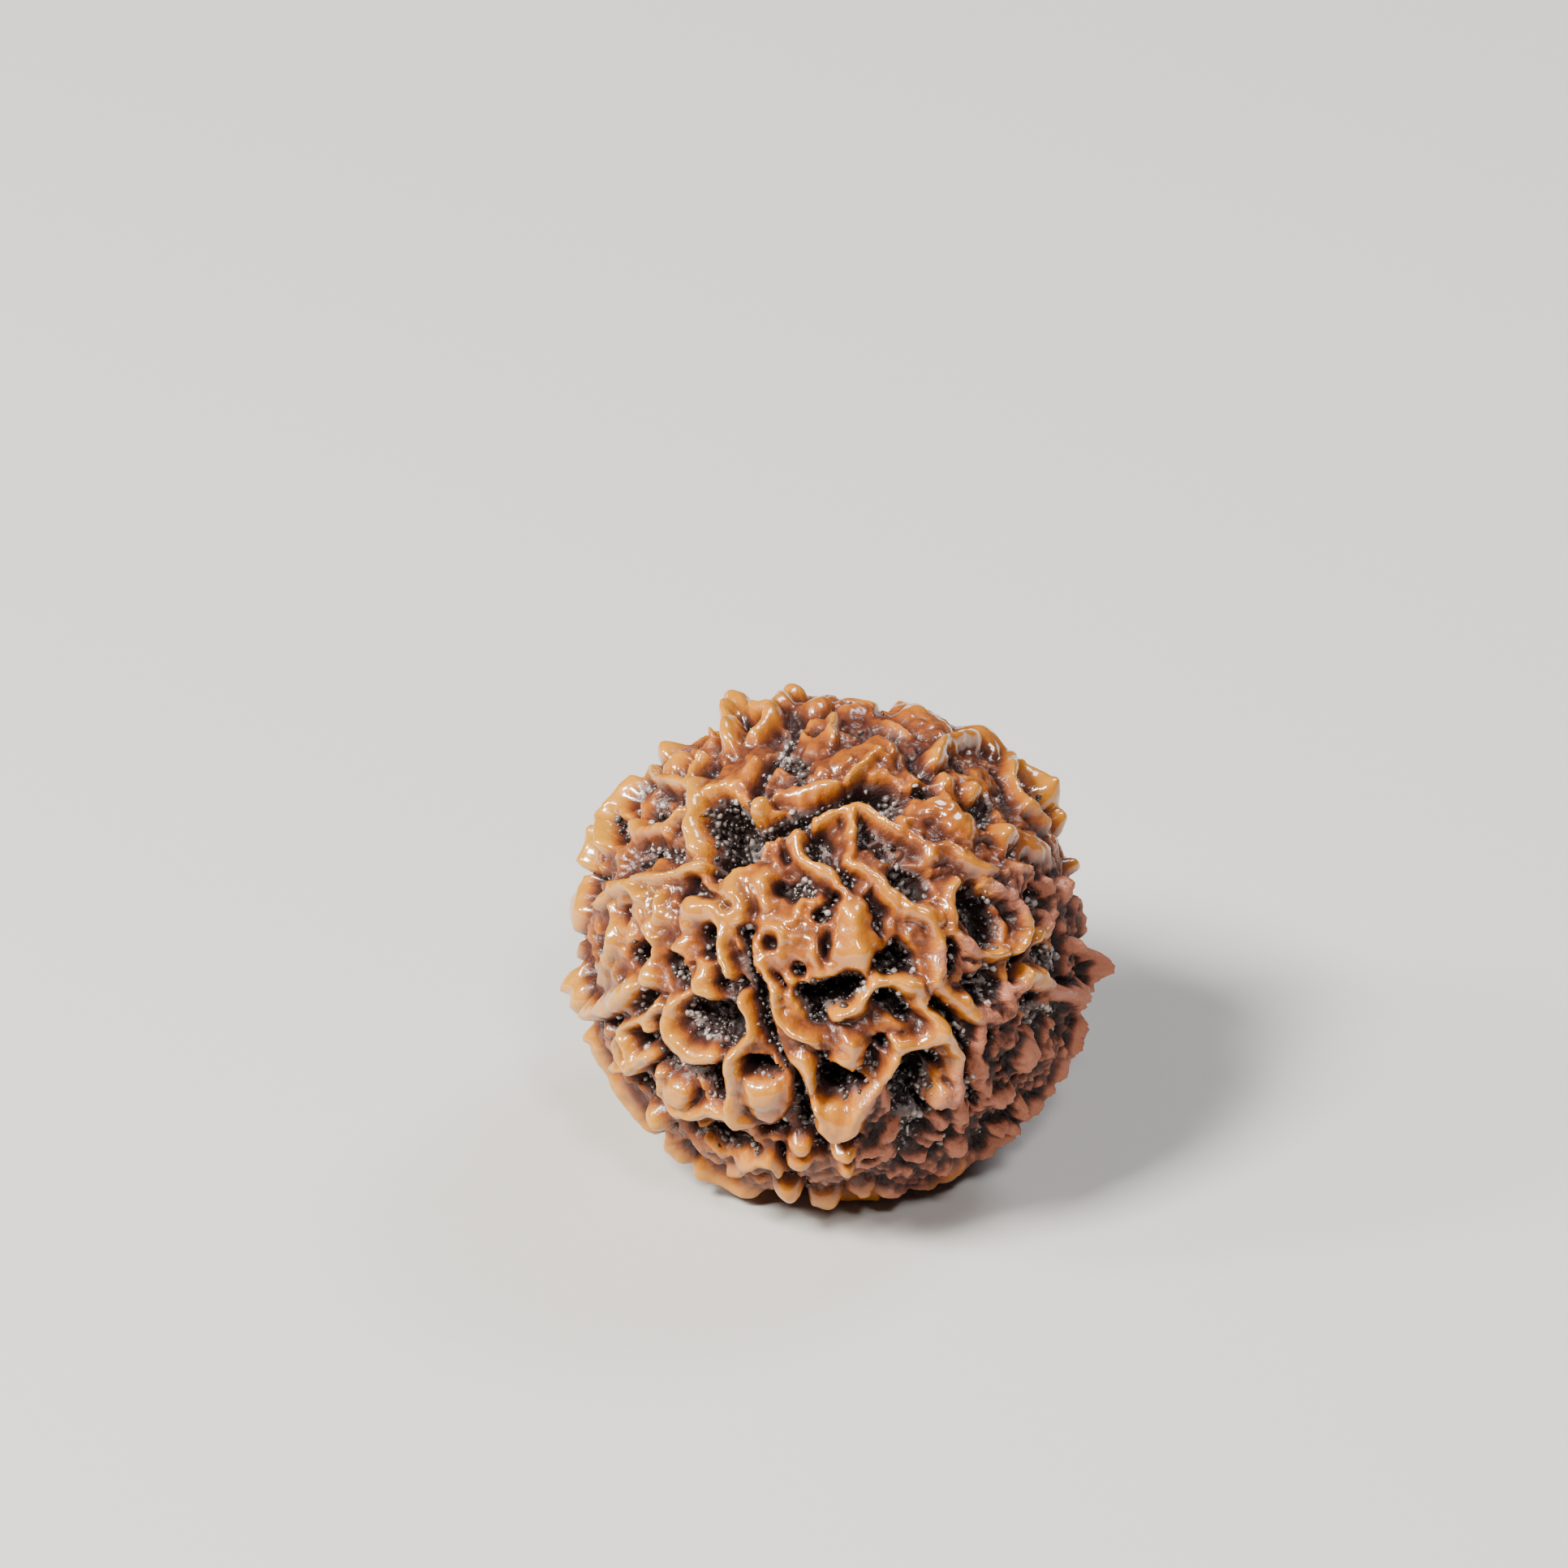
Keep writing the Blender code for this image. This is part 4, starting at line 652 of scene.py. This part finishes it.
def makeStone():
    ball = cubeBall(body["rows"])
    mesh = bpy.data.meshes.new("stone")
    ball.to_mesh(mesh)
    ball.free()
    places = np.empty(len(mesh.vertices) * 3, dtype=np.float32)
    mesh.vertices.foreach_get("co", places)
    points = unit(places.reshape(-1, 3).astype(np.float64))
    relief, hollow, dry, oil = stoneRelief(points)
    relief = evened(mesh, relief, *body["evening"])
    radius = restOnFoot(points, bodyRadius(points) + relief)
    places = points * radius[:, None]
    places[:, 2] = np.maximum(places[:, 2] + body["centreHeight"], 0.0)
    hollow = hollow * smoothStep(*body["crumbsAbove"], places[:, 2])
    mesh.vertices.foreach_set("co", (places * mm).ravel().astype(np.float32))
    addAttribute(mesh, "rise", relief)
    addAttribute(mesh, "hollow", evened(mesh, hollow, *body["hollowEvening"]))
    addAttribute(mesh, "dry", dry)
    addAttribute(mesh, "oil", oil)
    addAttribute(mesh, "dip", evened(mesh, relief, *body["dipEvening"]) - relief)
    addAttribute(mesh, "top", relief - evened(mesh, relief, *body["topEvening"]))
    mesh.update()
    mesh.shade_smooth()
    stone = bpy.data.objects.new("stone", mesh)
    bpy.context.scene.collection.objects.link(stone)
    return stone


class Socket:
    # a node's output that can be used in sums
    def __init__(self, sheet, output):
        self.sheet = sheet
        self.output = output

    def sum(self, operation, first, second, clamp=False):
        settings = {"operation": operation, "use_clamp": clamp}
        return self.sheet.node("ShaderNodeMath", settings, {0: first, 1: second})

    def __add__(self, other):
        return self.sum("ADD", self, other)

    def __radd__(self, other):
        return self.sum("ADD", other, self)

    def __sub__(self, other):
        return self.sum("SUBTRACT", self, other)

    def __rsub__(self, other):
        return self.sum("SUBTRACT", other, self)

    def __mul__(self, other):
        return self.sum("MULTIPLY", self, other)

    def __rmul__(self, other):
        return self.sum("MULTIPLY", other, self)

    def __truediv__(self, other):
        return self.sum("DIVIDE", self, other)

    def __rtruediv__(self, other):
        return self.sum("DIVIDE", other, self)

    def held(self):
        return self.sum("ADD", self, 0.0, clamp=True)


class Sheet:
    # the node sheet of one material
    def __init__(self, name):
        self.material = bpy.data.materials.new(name)
        self.material.use_nodes = True
        self.tree = self.material.node_tree
        self.shader = self.tree.nodes["Principled BSDF"]

    def node(self, kind, settings=None, inputs=None, output=0):
        made = self.tree.nodes.new(kind)
        for key, value in (settings or {}).items():
            if key == "stops":
                self.setStops(made.color_ramp, value)
            else:
                setattr(made, key, value)
        for key, value in (inputs or {}).items():
            self.feed(made.inputs[key], value)
        return Socket(self, made.outputs[output])

    def setStops(self, ramp, stops):
        while len(ramp.elements) < len(stops):
            ramp.elements.new(1.0)
        for element, (place, colour) in zip(ramp.elements, stops):
            element.position = place
            element.color = (*colour, 1.0)

    def feed(self, socket, value):
        if isinstance(value, Socket):
            self.tree.links.new(value.output, socket)
        elif isinstance(value, tuple) and len(value) == 3 and socket.type == "RGBA":
            socket.default_value = (*value, 1.0)
        else:
            socket.default_value = value

    def mix(self, share, first, second):
        inputs = {0: share, 6: first, 7: second}
        return self.node("ShaderNodeMix", {"data_type": "RGBA"}, inputs, output=2)

    def attribute(self, name):
        return self.node("ShaderNodeAttribute", {"attribute_name": name}, output=2)

    def place(self):
        return self.node("ShaderNodeTexCoord", output=3)

    def noise(self, scale, detail, roughness):
        return self.node("ShaderNodeTexNoise", None, {
            "Vector": self.place(), "Scale": scale, "Detail": detail, "Roughness": roughness,
        })

    def ramp(self, value, stops):
        return self.node("ShaderNodeValToRGB", {"stops": stops}, {0: value})

    def step(self, value, low, high):
        settings = {"interpolation_type": "SMOOTHSTEP"}
        return self.node("ShaderNodeMapRange", settings, {0: value, 1: low, 2: high, 3: 0.0, 4: 1.0})

    def bump(self, height, distance, strength, normal=None):
        inputs = {"Height": height, "Distance": distance, "Strength": strength}
        if normal is not None:
            inputs["Normal"] = normal
        return self.node("ShaderNodeBump", None, inputs)

    def finish(self, **values):
        for name, value in values.items():
            self.feed(self.shader.inputs[name.replace("_", " ")], value)
        return self.material


stoneFinish = {
    # mm over the body, the colour there where the skin is oiled, and where it is dry; the low levels are
    # dark partly as the pits' own dark floor and partly as painted shade
    "levels": (-1.1, -0.5, -0.15, 0.15, 0.45, 0.85),
    "oiled": (
        (0.013, 0.006, 0.006), (0.028, 0.01, 0.009), (0.064, 0.018, 0.011),
        (0.145, 0.039, 0.014), (0.33, 0.09, 0.01), (0.51, 0.185, 0.011),
    ),
    # the dried colours are darker: dull dry skin, and painted shade on the side away from the lamps, to
    # the right and below
    "dried": (
        (0.007, 0.002, 0.0015), (0.016, 0.005, 0.004), (0.035, 0.01, 0.006),
        (0.085, 0.022, 0.012), (0.185, 0.053, 0.028), (0.35, 0.12, 0.066),
    ),
    # painted light: crests on the left, the side the lamps light, are painted a yellower tint
    "litSideYellow": (0.51, 0.245, 0.015),
    "litSideYellowShare": 0.5,
    "crumb": (0.2, 0.165, 0.16),
    "crumbShare": 0.85,
    # waves to the metre, detail and roughness of each unevenness
    "mottle": (420.0, 4.0, 0.6),
    "fine": (2300.0, 3.0, 0.6),
    "stain": (950.0, 5.0, 0.65),
    "patches": (160.0, 2.0, 0.5),
    "pores": (5200.0, 2.0, 0.5),
    # what moves the colour along the levels: shares of the relief, and mm for each noise; the dip share
    # is painted shade in concave places
    "riseShare": 0.6,
    "dipShadeShare": 1.1,
    "lift": 0.07,
    "mottleShare": 0.5,
    "fineShare": 0.3,
    "stainShare": 1.1,
    "stainMiddle": 0.52,        # of its noise, where it changes nothing
    "stainedBelow": (0.25, 0.75),   # mm of relief
    # the same for dry skin alone, with its painted shade between lumps, and where it starts
    "dryTopShadeShare": 3.0,
    "dryDipShadeShare": 0.8,
    "dryDrop": 0.12,
    "dryWaver": 0.9,
    "dryFrom": (0.25, 0.75),
    # where the painted light of the left side falls, and on which crests
    "litSideYellowFrom": (0.001, 0.009),   # m to the left of the middle
    "litSideYellowWaver": 0.012,           # m
    "litSideYellowRise": (0.1, 0.6),       # mm
    # between which the tops of crumbs go from none to whole
    "crumbledTop": (-0.03, 0.05),
    "crumbledHollow": (0.3, 0.75),
    "crumbledMottle": (0.36, 0.55),
    # depth of each bump in m, and its strength on oiled skin; matte skin has more of both
    "fineBump": (0.00019, 0.3),
    "poreBump": (0.00005, 0.12),
    "matteBump": 0.6,
    "roughnessWaver": 0.25,
    "crumbledShine": 0.25,
    "oiledRoughness": 0.32,
    "dryRoughness": 0.6,
    "specular": 0.32,
    "coat": 1.0,
    "coatRoughness": 0.09,
    "coatIor": 1.75,
}


def stoneMaterial():
    finish = stoneFinish
    sheet = Sheet("oiled stone")
    rise = sheet.attribute("rise")
    hollow = sheet.attribute("hollow")
    dip = sheet.attribute("dip")
    top = sheet.attribute("top")
    mottle = sheet.noise(*finish["mottle"])
    fine = sheet.noise(*finish["fine"])
    dry = sheet.attribute("dry") + (mottle - 0.5) * finish["dryWaver"]
    dry = sheet.step(dry, *finish["dryFrom"])
    lowest, highest = finish["levels"][0], finish["levels"][-1]
    # the flanks between the crests are stained unevenly
    stain = sheet.noise(*finish["stain"])
    flank = 1.0 - sheet.step(rise, *finish["stainedBelow"])
    # painted shade: the colour darkens with depth and more in concave places; the dark pit floors are
    # partly the stone's own colour
    height = rise * finish["riseShare"] - dip * finish["dipShadeShare"] + finish["lift"]
    height = height + (mottle - 0.5) * finish["mottleShare"] + (fine - 0.5) * finish["fineShare"]
    height = height + (stain - finish["stainMiddle"]) * flank * finish["stainShare"]
    # painted shade: dry skin is painted dark in the gaps between its small lumps, light on their tops
    # and a little darker overall
    lumps = top * finish["dryTopShadeShare"] - dip * finish["dryDipShadeShare"] - finish["dryDrop"]
    height = height + lumps * dry
    height = ((height - lowest) / (highest - lowest)).held()
    places = [(level - lowest) / (highest - lowest) for level in finish["levels"]]
    oiled = sheet.ramp(height, list(zip(places, finish["oiled"])))
    dried = sheet.ramp(height, list(zip(places, finish["dried"])))
    # painted light: a yellower tint on the crests of the lit left side
    across = sheet.node("ShaderNodeSeparateXYZ", None, {0: sheet.place()})
    patches = sheet.noise(*finish["patches"])
    litLeftness = sheet.step((patches - 0.5) * finish["litSideYellowWaver"] - across, *finish["litSideYellowFrom"])
    litSideYellowed = litLeftness * sheet.step(rise, *finish["litSideYellowRise"]) * finish["litSideYellowShare"]
    oiled = sheet.mix(litSideYellowed, oiled, finish["litSideYellow"])
    # dry skin takes the darker dried colours, partly as painted shade on the side away from the lamps
    colour = sheet.mix(dry, oiled, dried)
    # pale tops of the crumbled floor of a hollow
    crumbled = sheet.step(top, *finish["crumbledTop"])
    crumbled = crumbled * sheet.step(hollow, *finish["crumbledHollow"])
    crumbled = crumbled * sheet.step(mottle, *finish["crumbledMottle"])
    colour = sheet.mix(crumbled * finish["crumbShare"], colour, finish["crumb"])
    pores = sheet.noise(*finish["pores"])
    matte = hollow.sum("MAXIMUM", hollow, dry)
    bump = None
    for texture, (depth, least) in ((fine, finish["fineBump"]), (pores, finish["poreBump"])):
        bump = sheet.bump(texture, depth, (matte * finish["matteBump"] + least).held(), bump)
    roughness = finish["oiledRoughness"] + matte * (finish["dryRoughness"] - finish["oiledRoughness"])
    roughness = roughness + (mottle - 0.5) * finish["roughnessWaver"]
    roughness = roughness - crumbled * finish["crumbledShine"]
    return sheet.finish(
        Base_Color=colour, Roughness=roughness.held(), Normal=bump,
        Coat_Weight=(sheet.attribute("oil") * finish["coat"]).held(),
        Coat_Roughness=finish["coatRoughness"], Coat_IOR=finish["coatIor"],
        Specular_IOR_Level=finish["specular"],
    )


# crumbs of dried pulp in the pits
crumbs = {
    "perSquareMm": 22.0,
    "spacing": 0.07,            # mm, nearest two crumbs
    "radius": 0.09,             # mm
    "smallest": 0.4,
    "largest": 2.0,
    "seed": 4,
    "patchesPerMetre": 900.0,
    "unevennessPerMetre": 9000.0,
    "push": 0.16,               # mm
    "tones": (
        (0.0, (0.016, 0.007, 0.005)),
        (0.45, (0.045, 0.03, 0.029)),
        (0.8, (0.13, 0.105, 0.102)),
        (1.0, (0.38, 0.33, 0.31)),
    ),
    # painted shade: crumbs lower in a pit are painted darker
    "pitShadeFrom": (-1.1, -0.35),   # mm of relief
    "pitShadeShare": 0.45,
    "roughness": 0.42,
    "paleShine": 0.2,           # how much smoother the palest crumbs are
    "specular": 0.8,
    "patchFrom": (0.38, 0.58),
    "leastShare": 0.15,         # share of the crumbs between the patches
    "pitFrom": (0.2, 0.7),
    "narrowest": (0.5, 0.5, 0.5),
    "widest": (1.3, 1.3, 1.3),
    "farthestTurn": (6.28, 6.28, 6.28),
}


def crumbMaterial():
    sheet = Sheet("pit crumbs")
    # painted shade: crumbs deep in a pit are painted darker, those of shallow hollows paler
    shallow = sheet.step(sheet.attribute("rise"), *crumbs["pitShadeFrom"])
    tone = (sheet.attribute("tone") + (shallow - 0.5) * crumbs["pitShadeShare"]).held()
    colour = sheet.ramp(tone, crumbs["tones"])
    roughness = crumbs["roughness"] - tone * crumbs["paleShine"]
    return sheet.finish(Base_Color=colour, Roughness=roughness, Specular_IOR_Level=crumbs["specular"])


def crumbTree(material):
    # crumbs of dried pulp scattered over the hollow places of the stone
    tree = bpy.data.node_groups.new("crumbs in pits", "GeometryNodeTree")
    face = tree.interface
    face.new_socket("Geometry", in_out="INPUT", socket_type="NodeSocketGeometry")
    for name in ("Density", "Spacing", "Radius", "Smallest", "Largest", "Patches", "Unevenness", "Push"):
        face.new_socket(name, in_out="INPUT", socket_type="NodeSocketFloat")
    face.new_socket("Seed", in_out="INPUT", socket_type="NodeSocketInt")
    face.new_socket("Geometry", in_out="OUTPUT", socket_type="NodeSocketGeometry")

    def add(kind, settings=None, inputs=None):
        made = tree.nodes.new(kind)
        for key, value in (settings or {}).items():
            setattr(made, key, value)
        for key, value in (inputs or {}).items():
            if isinstance(value, bpy.types.NodeSocket):
                tree.links.new(value, made.inputs[key])
            else:
                made.inputs[key].default_value = value
        return made

    def step(value, reach, least):
        inputs = {0: value, 1: reach[0], 2: reach[1], 3: least, 4: 1.0}
        return add("ShaderNodeMapRange", {"interpolation_type": "SMOOTHSTEP"}, inputs).outputs[0]

    given = add("NodeGroupInput").outputs
    hollow = add("GeometryNodeInputNamedAttribute", {"data_type": "FLOAT"}, {"Name": "hollow"})
    # more of them in some patches than in others
    patches = add("ShaderNodeTexNoise", None, {"Scale": given["Patches"], "Detail": 1.0})
    thick = step(patches.outputs[0], crumbs["patchFrom"], crumbs["leastShare"])
    well = step(hollow.outputs[0], crumbs["pitFrom"], 0.0)
    share = add("ShaderNodeMath", {"operation": "MULTIPLY"}, {0: thick, 1: well})
    spread = add("GeometryNodeDistributePointsOnFaces", {"distribute_method": "POISSON"}, {
        "Mesh": given["Geometry"], "Distance Min": given["Spacing"], "Density Max": given["Density"],
        "Density Factor": share.outputs[0], "Seed": given["Seed"],
    })
    grain = add("GeometryNodeMeshIcoSphere", None, {"Radius": given["Radius"], "Subdivisions": 1})
    smooth = add("GeometryNodeSetShadeSmooth", None, {"Geometry": grain.outputs["Mesh"]})
    size = add("FunctionNodeRandomValue", {"data_type": "FLOAT"}, {
        2: given["Smallest"], 3: given["Largest"], "Seed": 1,
    })
    squash = add("FunctionNodeRandomValue", {"data_type": "FLOAT_VECTOR"}, {
        0: crumbs["narrowest"], 1: crumbs["widest"], "Seed": 2,
    })
    stretch = add("ShaderNodeVectorMath", {"operation": "SCALE"}, {
        0: squash.outputs[0], 3: size.outputs[1],
    })
    turn = add("FunctionNodeRandomValue", {"data_type": "FLOAT_VECTOR"}, {
        0: (0.0, 0.0, 0.0), 1: crumbs["farthestTurn"], "Seed": 3,
    })
    rotation = add("FunctionNodeEulerToRotation", None, {0: turn.outputs[0]})
    placed = add("GeometryNodeInstanceOnPoints", None, {
        "Points": spread.outputs["Points"], "Instance": smooth.outputs[0],
        "Rotation": rotation.outputs[0], "Scale": stretch.outputs[0],
    })
    toneValue = add("FunctionNodeRandomValue", {"data_type": "FLOAT"}, {2: 0.0, 3: 1.0, "Seed": 4})
    toned = add("GeometryNodeStoreNamedAttribute", {"data_type": "FLOAT", "domain": "INSTANCE"}, {
        "Geometry": placed.outputs[0], "Name": "tone", "Value": toneValue.outputs[1],
    })
    real = add("GeometryNodeRealizeInstances", None, {0: toned.outputs[0]})
    # each crumb pushed out of round
    dents = add("ShaderNodeTexNoise", None, {"Scale": given["Unevenness"], "Detail": 0.0})
    centred = add("ShaderNodeVectorMath", {"operation": "SUBTRACT"}, {
        0: dents.outputs["Color"], 1: (0.5, 0.5, 0.5),
    })
    push = add("ShaderNodeVectorMath", {"operation": "SCALE"}, {0: centred.outputs[0], 3: given["Push"]})
    pushed = add("GeometryNodeSetPosition", None, {
        "Geometry": real.outputs[0], "Offset": push.outputs[0],
    })
    painted = add("GeometryNodeSetMaterial", None, {
        "Geometry": pushed.outputs[0], "Material": material,
    })
    out = add("NodeGroupOutput")
    tree.links.new(painted.outputs[0], out.inputs[0])
    return tree


def socketId(tree, name):
    return next(item.identifier for item in tree.interface.items_tree
                if item.name == name and item.in_out == "INPUT")


def makeCrumbs(stone):
    tree = crumbTree(crumbMaterial())
    scatter = stone.modifiers.new("crumbs", "NODES")
    scatter.node_group = tree
    values = {
        "Density": crumbs["perSquareMm"] / (mm * mm), "Spacing": crumbs["spacing"] * mm,
        "Radius": crumbs["radius"] * mm, "Smallest": crumbs["smallest"],
        "Largest": crumbs["largest"], "Seed": crumbs["seed"],
        "Patches": crumbs["patchesPerMetre"], "Unevenness": crumbs["unevennessPerMetre"],
        "Push": crumbs["push"] * mm,
    }
    for name, value in values.items():
        scatter[socketId(tree, name)] = value
    bpy.context.view_layer.update()
    ready = stone.evaluated_get(bpy.context.evaluated_depsgraph_get())
    mesh = bpy.data.meshes.new_from_object(ready)
    stone.modifiers.remove(scatter)
    made = bpy.data.objects.new("pitCrumbs", mesh)
    bpy.context.scene.collection.objects.link(made)
    return made


studio = {
    "floorColour": (0.55, 0.54, 0.53),
    "floorRoughness": 0.7,
    "floorSize": 12.0,          # m
    "worldColour": (0.75, 0.76, 0.78),
    "worldStrength": 0.06,
    # direction from the stone, distance and size in m, watts, colour
    "key": ((-0.68, -0.46, 1.0), 0.45, 0.12, 5.6, (1.0, 0.96, 0.87)),
    "left": ((-0.92, -0.1, 0.6), 0.5, 0.08, 1.5, (1.0, 0.96, 0.87)),
    "front": ((0.2, -0.72, 0.95), 0.6, 0.08, 1.8, (1.0, 0.97, 0.94)),
    "back": ((0.55, 0.45, 0.85), 0.5, 0.15, 1.3, (0.95, 0.97, 1.0)),
}


def makeFloor():
    half = studio["floorSize"] / 2.0
    mesh = bpy.data.meshes.new("floor")
    corners = [(-half, -half, 0.0), (half, -half, 0.0), (half, half, 0.0), (-half, half, 0.0)]
    mesh.from_pydata(corners, [], [(0, 1, 2, 3)])
    sheet = Sheet("pale floor")
    colour, roughness = studio["floorColour"], studio["floorRoughness"]
    mesh.materials.append(sheet.finish(Base_Color=colour, Roughness=roughness))
    floor = bpy.data.objects.new("floor", mesh)
    bpy.context.scene.collection.objects.link(floor)


def makeLight(name):
    direction, distance, size, watts, colour = studio[name]
    lamp = bpy.data.lights.new(name, "AREA")
    lamp.energy = watts
    lamp.size = size
    lamp.color = colour
    light = bpy.data.objects.new(name, lamp)
    aim = Vector((0.0, 0.0, body["centreHeight"] * mm))
    light.location = aim + Vector(direction).normalized() * distance
    light.rotation_euler = Vector(direction).to_track_quat("Z", "Y").to_euler()
    bpy.context.scene.collection.objects.link(light)


def makeWorld():
    world = bpy.data.worlds.new("soft room")
    world.use_nodes = True
    back = world.node_tree.nodes["Background"]
    back.inputs["Color"].default_value = (*studio["worldColour"], 1.0)
    back.inputs["Strength"].default_value = studio["worldStrength"]
    bpy.context.scene.world = world


def makeCamera():
    lens = bpy.data.cameras.new("camera")
    half = view["framePx"] / 2.0
    lens.sensor_width = view["sensorWidth"]
    lens.lens = lens.sensor_width * view["distance"] * view["pxPerMm"] / view["framePx"]
    lens.clip_start, lens.clip_end = view["sees"]
    right, up, toward = (Vector(axis) for axis in viewAxes())
    acrossMm = (view["stoneCentrePx"][0] - half) / view["pxPerMm"]
    belowMm = (view["stoneCentrePx"][1] - half) / view["pxPerMm"]
    aim = Vector((0.0, 0.0, body["centreHeight"])) - right * acrossMm + up * belowMm
    camera = bpy.data.objects.new("camera", lens)
    camera.location = (aim + toward * view["distance"]) * mm
    camera.rotation_euler = Euler((math.radians(90.0 - view["elevation"]), 0.0, 0.0))
    bpy.context.scene.collection.objects.link(camera)
    bpy.context.scene.camera = camera


stone = makeStone()
print("stone shaped", len(stone.data.polygons), "faces")
pitCrumbs = makeCrumbs(stone)
print("crumbs scattered", len(pitCrumbs.data.polygons), "faces")
stone.data.materials.append(stoneMaterial())
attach(stone, "root")
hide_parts("rudraksha_bead")
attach(pitCrumbs, "root")
makeFloor()
for name in ("key", "left", "front", "back"):
    makeLight(name)
makeWorld()
makeCamera()
print("studio lit")
